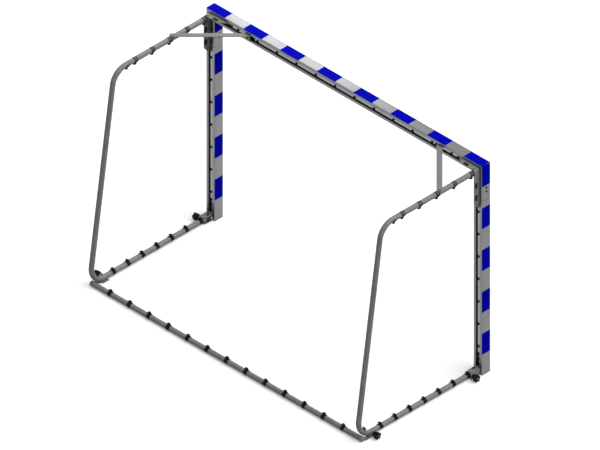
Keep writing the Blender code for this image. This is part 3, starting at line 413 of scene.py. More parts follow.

# %% [markdown]
# ## From a bmesh to a piece
#
# Each piece is drawn for the right side of the goal, in place. One function mirrors it where it belongs
# to the left, smooths its curved faces, gives it its material, hangs it on the body that it rides on,
# and hides the node that it stands for. Another does so for both sides. The small tools here are the
# ones that nearly every piece needs: bevel, move, merge, and a flat outline made solid.
# `triangle_fill` closes an outline with holes in it, and one extrusion gives the thickness.

# %% Finish a piece
SMOOTH_BELOW = math.radians(38)


def finish_piece(name, bm, material, body, replaced=(), side=1):
    if side < 0:
        bmesh.ops.scale(bm, vec=(-1, 1, 1), verts=bm.verts)
    bmesh.ops.recalc_face_normals(bm, faces=bm.faces)
    mesh = bpy.data.meshes.new(name)
    bm.to_mesh(mesh)
    bm.free()
    mesh.shade_smooth()
    mesh.set_sharp_from_angle(angle=SMOOTH_BELOW)
    mesh.materials.append(material)
    piece = bpy.data.objects.new(name, mesh)
    put_in_scene(piece)
    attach(piece, body)
    if replaced:
        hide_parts(*replaced)
    print(name, "has", len(mesh.polygons), "faces")


def finish_pair(name, make, material, body, *nodes):
    """The same piece on the left and on the right. {} in a body's name stands for the side."""
    for prefix, side in SIDES:
        finish_piece(f"{prefix}_{name}", make(), material, body.format(prefix),
                     [f"{prefix}_{node}" for node in nodes], side)


# %% Shape helpers
def bevel(bm, edges, width, segments):
    bmesh.ops.bevel(bm, geom=edges, offset=width, offset_type="OFFSET", affect="EDGES",
                    segments=segments, profile=0.5, material=-1, clamp_overlap=True)
    return bm


def soften(bm, width, segments=2, sharper_than=30):
    """Bevels every edge between faces that meet more sharply than an angle."""
    limit = math.radians(sharper_than)
    edges = [edge for edge in bm.edges
             if len(edge.link_faces) == 2 and edge.calc_face_angle() > limit]
    return bevel(bm, edges, width, segments)


def move(bm, place):
    """Moves everything by a matrix, or along a vector."""
    matrix = place if isinstance(place, Matrix) else Matrix.Translation(place)
    bmesh.ops.transform(bm, matrix=matrix, verts=bm.verts)
    return bm


def merge(*parts):
    """Several bmeshes as one."""
    whole = bmesh.new()
    for part in parts:
        holder = bpy.data.meshes.new("part")
        part.to_mesh(holder)
        part.free()
        whole.from_mesh(holder)
        bpy.data.meshes.remove(holder)
    return whole


def extrude_up(bm, height):
    grown = bmesh.ops.extrude_face_region(bm, geom=bm.faces[:])["geom"]
    top = [item for item in grown if isinstance(item, bmesh.types.BMVert)]
    bmesh.ops.translate(bm, vec=(0, 0, height), verts=top)
    bmesh.ops.recalc_face_normals(bm, faces=bm.faces)
    return bm


def plate(outline, thickness, holes=None):
    """A flat outline in XY, and perhaps its holes, filled and extruded up to a thickness."""
    bm = bmesh.new()
    edges = []
    for loop in (outline, *(holes or ())):
        corners = [bm.verts.new((x, y, 0)) for x, y in loop]
        edges += [bm.edges.new(pair) for pair in zip(corners, corners[1:] + corners[:1])]
    if holes is None:
        bmesh.ops.edgeloop_fill(bm, edges=edges)
    else:
        bmesh.ops.triangle_fill(bm, use_beauty=True, use_dissolve=False, edges=edges)
    return extrude_up(bm, thickness)


def arc(centre, radius, start, end, steps):
    """Points of an arc from one angle to another, both in degrees."""
    angles = [math.radians(start + (end - start) * step / steps) for step in range(steps + 1)]
    return [(centre[0] + radius * math.cos(angle), centre[1] + radius * math.sin(angle))
            for angle in angles]


print("a half circle in 8 steps has", len(arc((0, 0), 1, 0, 180, 8)), "points")

# %% [markdown]
# ## The striped profile
#
# On the real goal one extruded section serves for crossbar, posts and corner pieces, cut to
# length. The section is drawn once: a square with rounded corners and a channel down its back,
# whose lips are rounded too. Each length is that outline extruded, and the corner is a mitre cut,
# made with `bisect_plane` as a saw would make it. Square ends get a hairline chamfer. A black
# rubber seal lies in the mitre and under each corner piece and draws the joints as thin dark
# lines. It is the same section again, cut into a slice and set back a little.

# %% Profile section
CHANNEL_HALF = 0.018
CHANNEL_FLOOR = 0.056
CORNER = 0.006
LIP_ROUND = 0.0015
SAW_CHAMFER = 0.0006
GAP = 0.0003
SEAL = 0.0026
SEAL_RECESS = 0.0005
SPARE_LENGTH = PROFILE / 8


def profile_section():
    """Across from -half to half, and back from 0 to the full depth, anticlockwise."""
    inner, back = PROFILE / 2 - CORNER, PROFILE - CORNER
    lip, lip_back = CHANNEL_HALF + LIP_ROUND, PROFILE - LIP_ROUND
    return (arc((inner, CORNER), CORNER, -90, 0, 7) + arc((inner, back), CORNER, 0, 90, 7)
            + arc((lip, lip_back), LIP_ROUND, 90, 180, 4)
            + [(CHANNEL_HALF, CHANNEL_FLOOR), (-CHANNEL_HALF, CHANNEL_FLOOR)]
            + arc((-lip, lip_back), LIP_ROUND, 0, 90, 4)
            + arc((-inner, back), CORNER, 90, 180, 7) + arc((-inner, CORNER), CORNER, 180, 270, 7))


def upright_profile(low, high):
    return move(plate(profile_section(), high - low), (POST_X, FRONT, low))


def cut_with_plane(bm, point, outward):
    """A saw cut: what lies beyond the plane is cleared, and the cut face is closed."""
    result = bmesh.ops.bisect_plane(bm, geom=bm.verts[:] + bm.edges[:] + bm.faces[:],
                                    plane_co=point, plane_no=outward, clear_outer=True)
    rim = [item for item in result["geom_cut"] if isinstance(item, bmesh.types.BMEdge)]
    bmesh.ops.edgeloop_fill(bm, edges=rim)
    return bm


def chamfer_ends(bm, *heights):
    """A hairline chamfer on the rims that lie at given heights."""
    rims = [edge for edge in bm.edges if any(
        all(abs(vertex.co.z - height) < 0.00001 for vertex in edge.verts) for height in heights)]
    return bevel(bm, rims, SAW_CHAMFER, 1)


def mitre(bm, side, outward):
    """The corner's cut runs at 45 degrees through the outer top edge, along the depth."""
    corner = Vector((side * HALF_WIDTH, 0, HEIGHT))
    return cut_with_plane(bm, corner - outward.normalized() * SEAL / 2, outward)


print("the section is drawn with", len(profile_section()), "points")

# %% Crossbar, posts and corners
def make_crossbar():
    lying = axes((0, 0, -1), (0, 1, 0), (1, 0, 0), (-HALF_WIDTH, FRONT, BAR_Z))
    bm = move(plate(profile_section(), 2 * HALF_WIDTH), lying)
    return mitre(mitre(bm, 1, Vector((1, 0, -1))), -1, Vector((-1, 0, -1)))


def make_post():
    return chamfer_ends(upright_profile(POST_FOOT, JOINT_Z), POST_FOOT, JOINT_Z)


def make_corner():
    bm = upright_profile(JOINT_Z + SEAL, HEIGHT + SPARE_LENGTH)
    return mitre(chamfer_ends(bm, JOINT_Z + SEAL), 1, Vector((-1, 0, 1)))


def make_seals():
    on_post = upright_profile(JOINT_Z + GAP / 2, JOINT_Z + SEAL - GAP / 2)
    in_mitre = upright_profile(BAR_Z - PROFILE, HEIGHT + SPARE_LENGTH)
    corner, outward = Vector((HALF_WIDTH, 0, HEIGHT)), Vector((-1, 0, 1)).normalized()
    for away in (outward, -outward):
        cut_with_plane(in_mitre, corner + away * (SEAL - GAP) / 2, away)
    cut_with_plane(in_mitre, (0, 0, HEIGHT - SEAL_RECESS), (0, 0, 1))
    seals = merge(on_post, in_mitre)
    set_back = 1 - 2 * SEAL_RECESS / PROFILE
    bmesh.ops.scale(seals, vec=(set_back, set_back, 1), verts=seals.verts,
                    space=Matrix.Translation((-POST_X, -FRONT - PROFILE / 2, 0)))
    return seals


finish_piece("striped_crossbar", make_crossbar(), crossbar_finish, "frame", ["crossbar"])
finish_pair("striped_post", make_post, post_finish, "frame", "post")
finish_pair("striped_corner", make_corner, post_finish, "frame", "corner_stub")
finish_pair("joint_seals", make_seals, black_finish, "frame")

# %% [markdown]
# ## Bent tube
#
# A hoop is one straight tube bent twice. Modelling follows the bending machine: a ring of edges is
# extruded for each straight run and spun about the bend's centre for each bend. A wall then turns
# the skin into a real tube, open at both ends.

# %% Tube helpers
TUBE_SIDES = 40
TUBE_WALL = 0.0025
BEND = 0.120
BEND_STEPS = 22


def facing(direction, origin):
    """The place of a thing whose own Z axis points in a direction."""
    turn = Vector((0, 0, 1)).rotation_difference(Vector(direction)).to_matrix().to_4x4()
    return Matrix.Translation(origin) @ turn


def tube_ring(bm, centre, heading):
    return bmesh.ops.create_circle(bm, radius=TUBE_RADIUS, segments=TUBE_SIDES,
                                   matrix=facing(heading, centre))["verts"]


def ring_edges(bm, ring):
    chosen = set(ring)
    return [edge for edge in bm.edges if all(vertex in chosen for vertex in edge.verts)]


def run_tube(bm, ring, step):
    """Extrudes a ring of vertices along a straight step, and returns the new ring."""
    grown = bmesh.ops.extrude_edge_only(bm, edges=ring_edges(bm, ring))["geom"]
    new_ring = [item for item in grown if isinstance(item, bmesh.types.BMVert)]
    bmesh.ops.translate(bm, vec=step, verts=new_ring)
    return new_ring


def bend_tube(bm, ring, centre, angle):
    spun = bmesh.ops.spin(bm, geom=ring + ring_edges(bm, ring), cent=centre, axis=(1, 0, 0),
                          angle=angle, steps=BEND_STEPS, use_merge=False)
    return [item for item in spun["geom_last"] if isinstance(item, bmesh.types.BMVert)]


def give_wall(bm):
    bmesh.ops.recalc_face_normals(bm, faces=bm.faces)
    bmesh.ops.solidify(bm, geom=bm.faces[:], thickness=TUBE_WALL)
    return bm


print(f"the tube's bore is {(TUBE_RADIUS - TUBE_WALL) * 2000:.1f} mm")

# %% [markdown]
# ## The side hoops and the ground bar
#
# Each hoop leaves the post at the top, runs back, bends down into a leg that leans forward, and
# bends again to run along the ground back to the post's foot. The leg leans by 8.17 degrees, so
# the lower bend turns by that much more than a right angle and the upper one by that much less.
# The ground bar is a straight length of the same tube.

# %% Hoops and ground bar
LEAN = math.radians(8.17)
RIGHT_ANGLE = math.radians(90)
HOOP_START = HINGE.y + 0.017
BACK = size_of_frame[1][1]
LOWER_BEND = Vector((POST_X, BACK - TUBE_RADIUS - BEND, LOWER_Z + BEND))
PLUG_FLANGE = 0.003
BAR_HALF = cap_high.x - PLUG_FLANGE


def leg_y(height):
    """Where the leaning leg's axis is at a height: it runs tangent to the lower bend."""
    return LOWER_BEND.y + (BEND - (height - LOWER_BEND.z) * math.sin(LEAN)) / math.cos(LEAN)


UPPER_BEND = Vector((POST_X, leg_y(UPPER_Z) - BEND * math.tan((RIGHT_ANGLE - LEAN) / 2),
                     UPPER_Z - BEND))
LEG = Vector((0, -math.sin(LEAN), math.cos(LEAN)))
LEG_LENGTH = (UPPER_BEND - LOWER_BEND).dot(LEG)


def make_hoop():
    bm = bmesh.new()
    ring = tube_ring(bm, (POST_X, HOOP_START, LOWER_Z), (0, 1, 0))
    ring = run_tube(bm, ring, (0, LOWER_BEND.y - HOOP_START, 0))
    ring = bend_tube(bm, ring, LOWER_BEND, RIGHT_ANGLE + LEAN)
    ring = run_tube(bm, ring, LEG * LEG_LENGTH)
    ring = bend_tube(bm, ring, UPPER_BEND, RIGHT_ANGLE - LEAN)
    run_tube(bm, ring, (0, HOOP_START - UPPER_BEND.y, 0))
    return give_wall(bm)


def make_bar():
    bm = bmesh.new()
    ring = tube_ring(bm, (-BAR_HALF, BAR_AXIS.y, BAR_AXIS.z), (1, 0, 0))
    run_tube(bm, ring, (2 * BAR_HALF, 0, 0))
    return give_wall(bm)


finish_pair("bent_hoop", make_hoop, tube_finish, "{}_side_hoop", "hoop")
finish_piece("rear_ground_bar", make_bar(), tube_finish, "ground_rail", ["ground_bar"])
print("a hoop's leg is", round(LEG_LENGTH, 3), "m long between its bends")

# %% [markdown]
# ## Corner brackets
#
# Brackets start as flat sheet: an outline and its holes are cut first, and the sheet is bent
# afterwards. Here one strip, 68 mm wide and 5 mm thick, lies on the outer walls of both channels
# and carries the hoop's upper hinge. It is bent round a 14 mm inner radius. Bending needs faces to
# bend, so the sheet is first cut into narrow strips across the bend with `bisect_plane`. Each point
# then rolls round the bend by its distance along the sheet. Every rim gets a small bevel, because
# a stamped edge is never razor sharp, and that bevel catches the light. Black moulded bushes with a
# thin lip fill the slots. Their black is painted shade, which stands in for the dark of an open slot.

# %% Sheet for the corner brackets
EDGE = 0.0006
BRACKET_THICK = 0.005
BRACKET_OUTER_BEND = 0.019
BRACKET_BEND_STEPS = 14
BRACKET_SLOT = (0.042, 0.015)
TOP_SLOT_INSET = 0.069
SIDE_SLOT_DROPS = (0.128, 0.227)
TOP_CHAMFER = (0.053, 0.035)
SIDE_CHAMFER = (0.048, 0.037)
HINGE_HOLE = 0.0055
STUD_HOLE = 0.0053
SCREW_HOLE = 0.0045


def circle(centre, radius, steps=28):
    return arc(centre, radius, 0, 360 - 360 / steps, steps - 1)


def slot(centre, grown=0.0):
    """A bracket slot's outline, perhaps larger by a length all round."""
    radius, run = BRACKET_SLOT[1] / 2 + grown, (BRACKET_SLOT[0] - BRACKET_SLOT[1]) / 2
    return (arc((centre[0] + run, centre[1]), radius, -90, 90, 12)
            + arc((centre[0] - run, centre[1]), radius, 90, 270, 12))


def roll_sheet(bm, start):
    """Bends a flat sheet down by a right angle. Its upper face is the outside of the bend."""
    middle_radius = BRACKET_OUTER_BEND - BRACKET_THICK / 2
    bent_length = middle_radius * RIGHT_ANGLE
    for step in range(BRACKET_BEND_STEPS + 1):
        place = start + bent_length * step / BRACKET_BEND_STEPS
        bmesh.ops.bisect_plane(bm, geom=bm.verts[:] + bm.edges[:] + bm.faces[:],
                               plane_co=(place, 0, 0), plane_no=(1, 0, 0))
    for vertex in bm.verts:
        bent = vertex.co.x - start
        if bent > 0:
            angle = min(bent / middle_radius, RIGHT_ANGLE)
            radius = BRACKET_OUTER_BEND - (BRACKET_THICK - vertex.co.z)
            vertex.co.x = start + radius * math.sin(angle)
            vertex.co.z = (BRACKET_THICK - BRACKET_OUTER_BEND + radius * math.cos(angle)
                           - max(bent - bent_length, 0))
    return bm


def make_corner_bracket():
    low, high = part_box("right_corner_bracket")
    start = high.x - low.x - BRACKET_OUTER_BEND
    side_start = (start + (BRACKET_OUTER_BEND - BRACKET_THICK / 2) * RIGHT_ANGLE
                  - BRACKET_OUTER_BEND)
    length, width = side_start + high.z - low.z, high.y - low.y
    outline = [(0, 0), (length, 0), (length, width - SIDE_CHAMFER[1]),
               (length - SIDE_CHAMFER[0], width), (TOP_CHAMFER[0], width),
               (0, width - TOP_CHAMFER[1])]
    along, across = HINGE.x - low.x, HINGE.y - low.y
    bolts = [middle(f"right_bracket_bolt_{level}") for level in LEVELS]
    holes = ([circle((along, across), HINGE_HOLE), slot((along - TOP_SLOT_INSET, across))]
             + [slot((side_start + drop, across)) for drop in SIDE_SLOT_DROPS]
             + [circle((side_start + high.z - bolt.z, bolt.y - low.y), SCREW_HOLE)
                for bolt in bolts])
    bent = roll_sheet(plate(outline, BRACKET_THICK, holes), start)
    return move(soften(bent, EDGE, 2, 50), (low.x, low.y, high.z - BRACKET_THICK))


print("a bracket's slot is", *[round(length * 1000) for length in BRACKET_SLOT], "mm")

# %% Corner brackets and their bushes
BUSH_LIP = 0.0012
BUSH_LIP_WIDTH = 0.0032


def slot_plate(grown, low, high):
    """A plate with the slot's outline, larger by a length all round, from one height to another."""
    return move(soften(plate(slot((0, 0), grown), high - low), 0.0004, 2, 50), (0, 0, low))


# Painted shade: the black bushes stand in for the dark that an open slot shows.
def make_slot_shade_bushes():
    """A bush fills each slot. Its lip lies on the sheet's outside, and on the side arm on both."""
    low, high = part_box("right_corner_bracket")
    on_top = axes((1, 0, 0), (0, 1, 0), (0, 0, 1), (HINGE.x - TOP_SLOT_INSET, HINGE.y, high.z))
    on_side = [axes((0, 0, 1), (0, -1, 0), (1, 0, 0), (high.x, HINGE.y, high.z - drop))
               for drop in SIDE_SLOT_DROPS]
    bushes = []
    for place in (on_top, *on_side):
        parts = [slot_plate(-GAP / 2, -BRACKET_THICK + GAP, BUSH_LIP / 2),
                 slot_plate(BUSH_LIP_WIDTH, GAP / 3, BUSH_LIP)]
        if place is not on_top:
            parts.append(slot_plate(BUSH_LIP_WIDTH, -BRACKET_THICK - BUSH_LIP,
                                    -BRACKET_THICK - GAP / 3))
        bushes.append(move(merge(*parts), place))
    return merge(*bushes)


finish_pair("bent_corner_bracket", make_corner_bracket, plate_finish, "frame", "corner_bracket")
finish_pair("slot_shade_bushes", make_slot_shade_bushes, black_finish, "frame")

# %% [markdown]
# ## Diagonal struts
#
# A flat bar with round ends holds each hoop square to the goal. One end turns on a shouldered bolt
# in the hoop, and the other rests on a catch in the crossbar's channel.

# %% Struts
STRUT_HALF = 0.020


def make_strut():
    low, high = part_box("right_strut")
    length = (high.x - low.x - 2 * STRUT_HALF) * math.sqrt(2)
    outline = arc((0, 0), STRUT_HALF, -90, 90, 20) + arc((-length, 0), STRUT_HALF, 90, 270, 20)
    holes = [circle((0, 0), STUD_HOLE), circle((-length, 0), STUD_HOLE)]
    turned = Matrix.Rotation(math.radians(45), 4, "Z")
    corner = Matrix.Translation((high.x - STRUT_HALF, high.y - STRUT_HALF, low.z))
    return move(soften(plate(outline, high.z - low.z, holes), EDGE), corner @ turned)


finish_pair("flat_strut", make_strut, plate_finish, "{}_diagonal", "strut")

# %% [markdown]
# ## Bolts, screws and nuts
#
# A fastener is drawn standing on its seat: the head above, the shank below. Hexagons are cones
# with six sides. Their chamfer comes from a bevel, and a washer spreads the load on the thin
# plates. A socket is an inset face pushed inwards.

# %% Fastener parts
SCREW_SHANK = 0.004
SCREW_HEAD = 0.007


def rod(radius, low, high, sides=36, top_radius=None):
    """A cylinder or cone on the Z axis, from one height to another."""
    bm = bmesh.new()
    bmesh.ops.create_cone(bm, cap_ends=True, segments=sides, radius1=radius,
                          radius2=radius if top_radius is None else top_radius,
                          depth=high - low, matrix=Matrix.Translation((0, 0, (low + high) / 2)))
    return bm


def hexagon(radius, low, high):
    return soften(rod(radius, low, high, 6), radius * 0.09, 2, 25)


def washer(radius, low, high):
    return soften(rod(radius, low, high, 40), (high - low) * 0.3)


def highest_face(bm):
    return max(bm.faces, key=lambda face: face.calc_center_median().z)


def recessed(bm, height, rounding, rim, depth):
    """Rounds a rod's upper rim, then insets its upper face and pushes it in."""
    edges = [edge for edge in bm.edges if all(vertex.co.z > height / 2 for vertex in edge.verts)]
    bevel(bm, edges, rounding, 4)
    top = highest_face(bm)
    bmesh.ops.inset_individual(bm, faces=[top], thickness=rim)
    bmesh.ops.translate(bm, vec=(0, 0, -depth), verts=top.verts)
    return bm


def socket_head(radius, height):
    """A cylinder head with a rounded rim and a socket."""
    return recessed(rod(radius, 0, height), height, height * 0.45, radius * 0.22, height * 0.55)


print(f"most screws are {SCREW_SHANK * 2000:.0f} mm thick, with {SCREW_HEAD * 2000:.0f} mm heads")

# %% Bolts and socket screws
OUT, INWARD, BACKWARD, UP = (1, 0, 0), (-1, 0, 0), (0, 1, 0), (0, 0, 1)
HIGH_HEAD, LOW_HEAD, HINGE_HEAD = 0.0045, 0.003, 0.005


def seat_of(node, direction, head):
    """Where a fastener's head sits: one head height in from the node's end in its direction."""
    low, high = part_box(node)
    seat = (low + high) / 2
    axis = max(range(3), key=lambda index: abs(direction[index]))
    seat[axis] = (high if direction[axis] > 0 else low)[axis] - direction[axis] * head
    return seat, (high - low)[axis] - head


def hex_bolt(node, direction, head, radius=SCREW_HEAD, shank=SCREW_SHANK, nut=0.0, nut_radius=0.0):
    """A hexagon bolt that stands for a node, with a washer under its head and perhaps a nut."""
    seat, reach = seat_of(node, direction, head)
    parts = [rod(shank, -reach, 0), washer(radius, 0, head * 0.28),
             hexagon(radius * 0.92, head * 0.28, head)]
    if nut:
        parts += [hexagon(nut_radius, -reach, nut * 0.78 - reach),
                  washer(nut_radius, nut * 0.78 - reach, nut - reach)]
    return move(merge(*parts), facing(direction, seat))


def socket_screw(node, direction, head, radius=SCREW_HEAD, shank=SCREW_SHANK, far_head=False):
    seat, reach = seat_of(node, direction, head)
    parts = [rod(shank, (head if far_head else 0) - reach, 0), socket_head(radius, head)]
    if far_head:
        upside_down = Matrix.Rotation(math.pi, 4, "X")
        parts.append(move(socket_head(radius, head),
                          Matrix.Translation((0, 0, head - reach)) @ upside_down))
    return move(merge(*parts), facing(direction, seat))


hinge_reach = seat_of("right_upper_hinge_bolt", UP, HINGE_HEAD)[1]
print(f"the upper hinge bolt reaches {hinge_reach * 1000:.0f} mm below its head")

# %% Frame fasteners
PIVOT_SHANK = 0.005
HINGE_NUT = 0.007
upper_hinge = {"radius": 0.0065, "shank": PIVOT_SHANK, "nut": HINGE_NUT, "nut_radius": 0.009}
lower_hinge = {"radius": 0.00775, "shank": PIVOT_SHANK}
FASTENERS = [
    ("upper_hinge_pin", "upper_hinge_bolt", hex_bolt, screw_finish, UP, HINGE_HEAD, upper_hinge),
    ("lower_hinge_pin", "lower_hinge_bolt", socket_screw, black_finish, UP, HINGE_HEAD, lower_hinge),
    ("catch_bolt", "catch_screw", socket_screw, screw_finish, BACKWARD, LOW_HEAD, {})]
for level in LEVELS:
    FASTENERS += [
        (f"bracket_screw_{level}", f"bracket_bolt_{level}", socket_screw, dark_finish, INWARD,
         HIGH_HEAD, {}),
        (f"joint_screw_{level}", f"joint_bolt_{level}", socket_screw, dark_finish, OUT,
         LOW_HEAD, {"far_head": True}),
        (f"foot_screw_{level}", f"foot_bracket_bolt_{level}", hex_bolt, screw_finish, BACKWARD,
         HIGH_HEAD, {})]
for name, node, make, material, direction, head, details in FASTENERS:
    finish_pair(name, lambda: make(f"right_{node}", direction, head, **details), material,
                "frame", node)

# %% [markdown]
# ## Strut bolts
#
# The strut has to swing freely, so its bolt has a shoulder: a collar stands the strut off the
# tube, and a nut under the tube draws the collar tight. A black nylon washer under the head lets
# the strut turn without scraping, and draws a dark ring round the head.

# %% Strut bolts
STRUT_WASHER = 0.0022
HINGE_WASHER = 0.0011
HINGE_WASHER_RADIUS = 0.011
NUT_WASHER = 0.0014
COLLAR = 0.009
COLLAR_PLAY = 0.0001


def make_strut_bolt():
    low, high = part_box("right_strut_bolt")
    strut_low, strut_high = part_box("right_strut")
    centre = middle("right_strut_bolt")
    head_seat = strut_high.z + GAP
    nut_top = UPPER_Z - TUBE_RADIUS - GAP
    bolt = merge(rod(PIVOT_SHANK, low.z, head_seat),
                 hexagon(SCREW_HEAD, head_seat + STRUT_WASHER, high.z),
                 washer(COLLAR, UPPER_Z + TUBE_RADIUS + COLLAR_PLAY, strut_low.z - 2 * COLLAR_PLAY),
                 washer(COLLAR, nut_top - NUT_WASHER, nut_top),
                 hexagon(COLLAR, low.z, nut_top - NUT_WASHER))
    return move(bolt, (centre.x, centre.y, 0))


def make_washer(under, on, gap, radius, thick):
    """A nylon washer round one node's axis, on top of another node."""
    seat = middle(under)
    seat.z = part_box(on)[1].z + gap
    return move(washer(radius, 0, thick), seat)


finish_pair("shouldered_bolt", make_strut_bolt, screw_finish, "{}_side_hoop", "strut_bolt")
finish_pair("strut_washer", lambda: make_washer("right_strut_bolt", "right_strut", GAP, COLLAR,
                                                STRUT_WASHER), black_finish, "{}_side_hoop")
finish_pair("hinge_washer", lambda: make_washer("right_upper_hinge_bolt", "right_corner_bracket",
                                                GAP / 2, HINGE_WASHER_RADIUS, HINGE_WASHER),
            black_finish, "frame")

# %% [markdown]
# ## Hinges of the hoop
#
# At the top, a flat lug is welded to a plug in the tube's end. Its eye hangs on the hinge pin
# under the bracket. At the bottom, a block in the tube's end turns between two ears.

# %% Upper hinge lugs and pivot blocks
EYE_RADIUS = 0.0115
EYE_THICK = 0.0065
BOSS_RADIUS = 0.009
NECK_HALF = 0.007
BLOCK_HALF = 0.015
PLUG_LENGTH = 0.023
PLUG_PLAY = 0.0004
PLUG_RADIUS = TUBE_RADIUS - TUBE_WALL - PLUG_PLAY
BLOCK_OVERLAP = 0.004
BLOCK_ROUND = 0.0025
BOSS_OVERLAP = 0.0002


def block(low, high, rounding=EDGE, segments=2):
    """A box from one corner to the other, with softened edges."""
    bm = bmesh.new()
    bmesh.ops.create_cube(bm, size=1)
    bmesh.ops.scale(bm, vec=Vector(high) - Vector(low), verts=bm.verts)
    return soften(move(bm, (Vector(low) + Vector(high)) / 2), rounding, segments)


def make_plug(height, start):
    """A plug in the tube's mouth, along Y, with a rounded shoulder."""
    return move(soften(rod(PLUG_RADIUS, 0, PLUG_LENGTH), 0.001, 3),
                facing(BACKWARD, (POST_X, start, height)))


def make_hinge_lug():
    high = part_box("right_hinge_lug")[1]
    eye_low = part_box("right_upper_hinge_bolt")[0].z + HINGE_NUT + GAP
    back = HOOP_START + PLUG_LENGTH / 2
    outline = ([(POST_X + NECK_HALF, back), (POST_X - NECK_HALF, back),
                (POST_X - NECK_HALF, HOOP_START - GAP)]
               + arc((HINGE.x, HINGE.y), EYE_RADIUS, 150, 390, 28)
               + [(POST_X + NECK_HALF, HOOP_START - GAP)])
    eye = soften(plate(outline, EYE_THICK, [circle((HINGE.x, HINGE.y), STUD_HOLE)]), EDGE)
    boss = soften(rod(BOSS_RADIUS, eye_low + EYE_THICK - BOSS_OVERLAP, high.z), EDGE)
    return merge(move(eye, (0, 0, eye_low)), move(boss, (HINGE.x, HINGE.y, 0)),
                 make_plug(UPPER_Z, HOOP_START + GAP))


def make_pivot_block():
    low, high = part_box("right_pivot_block")
    return merge(block((HINGE.x - BLOCK_HALF, low.y, low.z),
                       (HINGE.x + BLOCK_HALF, HOOP_START - GAP, high.z), BLOCK_ROUND, 4),
                 make_plug(LOWER_Z, HOOP_START - BLOCK_OVERLAP))


finish_pair("hinge_eye", make_hinge_lug, plate_finish, "{}_side_hoop", "hinge_lug")
finish_pair("tube_end_block", make_pivot_block, dark_finish, "{}_side_hoop", "pivot_block")

# %% [markdown]
# ## Foot brackets
#
# The lower hinge is a U of zinc-plated sheet, open towards the goal's middle, with round ears above
# and below the tube. A dark tongue welded to it stands in the post's channel on two bolts. The
# plates are drawn one by one, as they are cut, and joined by weld beads: short rows of overlapping
# drops along each seam. Because the tongue has another finish, it is a piece of its own.

# %% Foot brackets
EAR = 0.005
EAR_REACH = 0.030
TONGUE_HALF = CHANNEL_HALF - 0.001
TOUCH = 0.00005
SEAM_INSET = 0.004
SEAM_REACH = 0.036
EAR_WELD, FLOOR_WELD = 0.002, 0.0018
EARS_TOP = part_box("right_lower_hinge_bolt")[1].z - HINGE_HEAD - GAP
IN_SIDE_PLANE, IN_BACK_PLANE = (BACKWARD, UP, OUT), (OUT, UP, (0, -1, 0))


def weld_bead(start, end, radius):
    """A row of flattened drops from one point to another."""
    start, end = Vector(start), Vector(end)
    count = max(int((end - start).length / (radius * 0.9)), 2)
    bm = bmesh.new()
    for index in range(count + 1):
        centre = start.lerp(end, index / count)
        drop = bmesh.ops.create_icosphere(bm, subdivisions=2, radius=radius,
                                          matrix=Matrix.Translation(centre))
        bmesh.ops.scale(bm, vec=(1, 1, 0.8), verts=drop["verts"],
                        space=Matrix.Translation(-centre))
    return bm


def make_foot_bracket():
    low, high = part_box("right_foot_bracket")
    front, web_x = FRONT + PROFILE + 2 * GAP, high.x - EAR
    ear_radius, ear_end = POST_X - low.x, HINGE.y + EAR_REACH
    upper_ear = EARS_TOP - EAR
    ear_outline = ([(low.x, front), (web_x, front), (web_x, ear_end + ear_radius / 2)]
                   + arc((POST_X, ear_end), ear_radius, 30, 180, 20))
    ears = [move(soften(plate(ear_outline, EAR, [circle((HINGE.x, HINGE.y), STUD_HOLE)]), EDGE, 2, 40),
                 (0, 0, bottom)) for bottom in (low.z, upper_ear)]
    stud = middle("right_front_knob_stud")
    web_outline = [(front, low.z), (high.y, low.z), (high.y, EARS_TOP), (front, EARS_TOP)]
    web = soften(plate(web_outline, EAR, [circle((stud.y, stud.z), STUD_HOLE)]), EDGE)
    neck = block((POST_X - TONGUE_HALF, low.y, upper_ear),
                 (POST_X + TONGUE_HALF, front - TOUCH, EARS_TOP))
    seams = [weld_bead((web_x, front + SEAM_INSET, height), (web_x, HINGE.y + SEAM_REACH, height),
                       radius)
             for height, radius in ((upper_ear, EAR_WELD), (low.z + EAR, FLOOR_WELD))]
    return merge(*ears, move(web, axes(*IN_SIDE_PLANE, (web_x, 0, 0))), neck, *seams)


finish_pair("welded_foot_bracket", make_foot_bracket, plate_finish, "frame", "foot_bracket")

# %% Tongues of the foot brackets
TONGUE_ROUND = 0.004
TONGUE_SCREW_HOLE = 0.0043
TONGUE_WELD = 0.0022
TONGUE_WELD_INSET = 0.003
WELD_LIFT = 0.001


def make_tongue():
    low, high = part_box("right_foot_bracket")
    foot = EARS_TOP + TOUCH
    corner_x, corner_z = TONGUE_HALF - TONGUE_ROUND, high.z - TONGUE_ROUND
    outline = ([(POST_X - TONGUE_HALF, foot), (POST_X + TONGUE_HALF, foot)]
               + arc((POST_X + corner_x, corner_z), TONGUE_ROUND, 0, 90, 6)
               + arc((POST_X - corner_x, corner_z), TONGUE_ROUND, 90, 180, 6))
    bolts = [middle(f"right_foot_bracket_bolt_{level}") for level in LEVELS]
    tongue = plate(outline, EAR, [circle((bolt.x, bolt.z), TONGUE_SCREW_HOLE) for bolt in bolts])
    ends = [(POST_X + side * (TONGUE_HALF - TONGUE_WELD_INSET), low.y + EAR + WELD_LIFT,
             foot + WELD_LIFT) for side in (-1, 1)]
    return merge(move(soften(tongue, EDGE, 2, 50), axes(*IN_BACK_PLANE, (0, low.y + EAR, 0))),
                 weld_bead(*ends, TONGUE_WELD))


finish_pair("foot_tongue", make_tongue, dark_finish, "frame")

# %% [markdown]
# ## Foot caps and strut catches
#
# Each post stands on a moulded cap with the same outline as the profile, so it is the profile's
# section again, only 3 mm tall. The catch is a moulded block whose back is cored out, as thick
# mouldings are, with a boss left for its screw and a rib on each side of it.

# %% Foot caps and catches
CAP_PLAY = 0.0033
CATCH_WALL = 0.0028
CATCH_CORE = 0.012
CATCH_FACE = 0.0038
CATCH_BOSS = 0.0085
RIB_OFFSET = 0.0145
RIB_HALF = 0.001


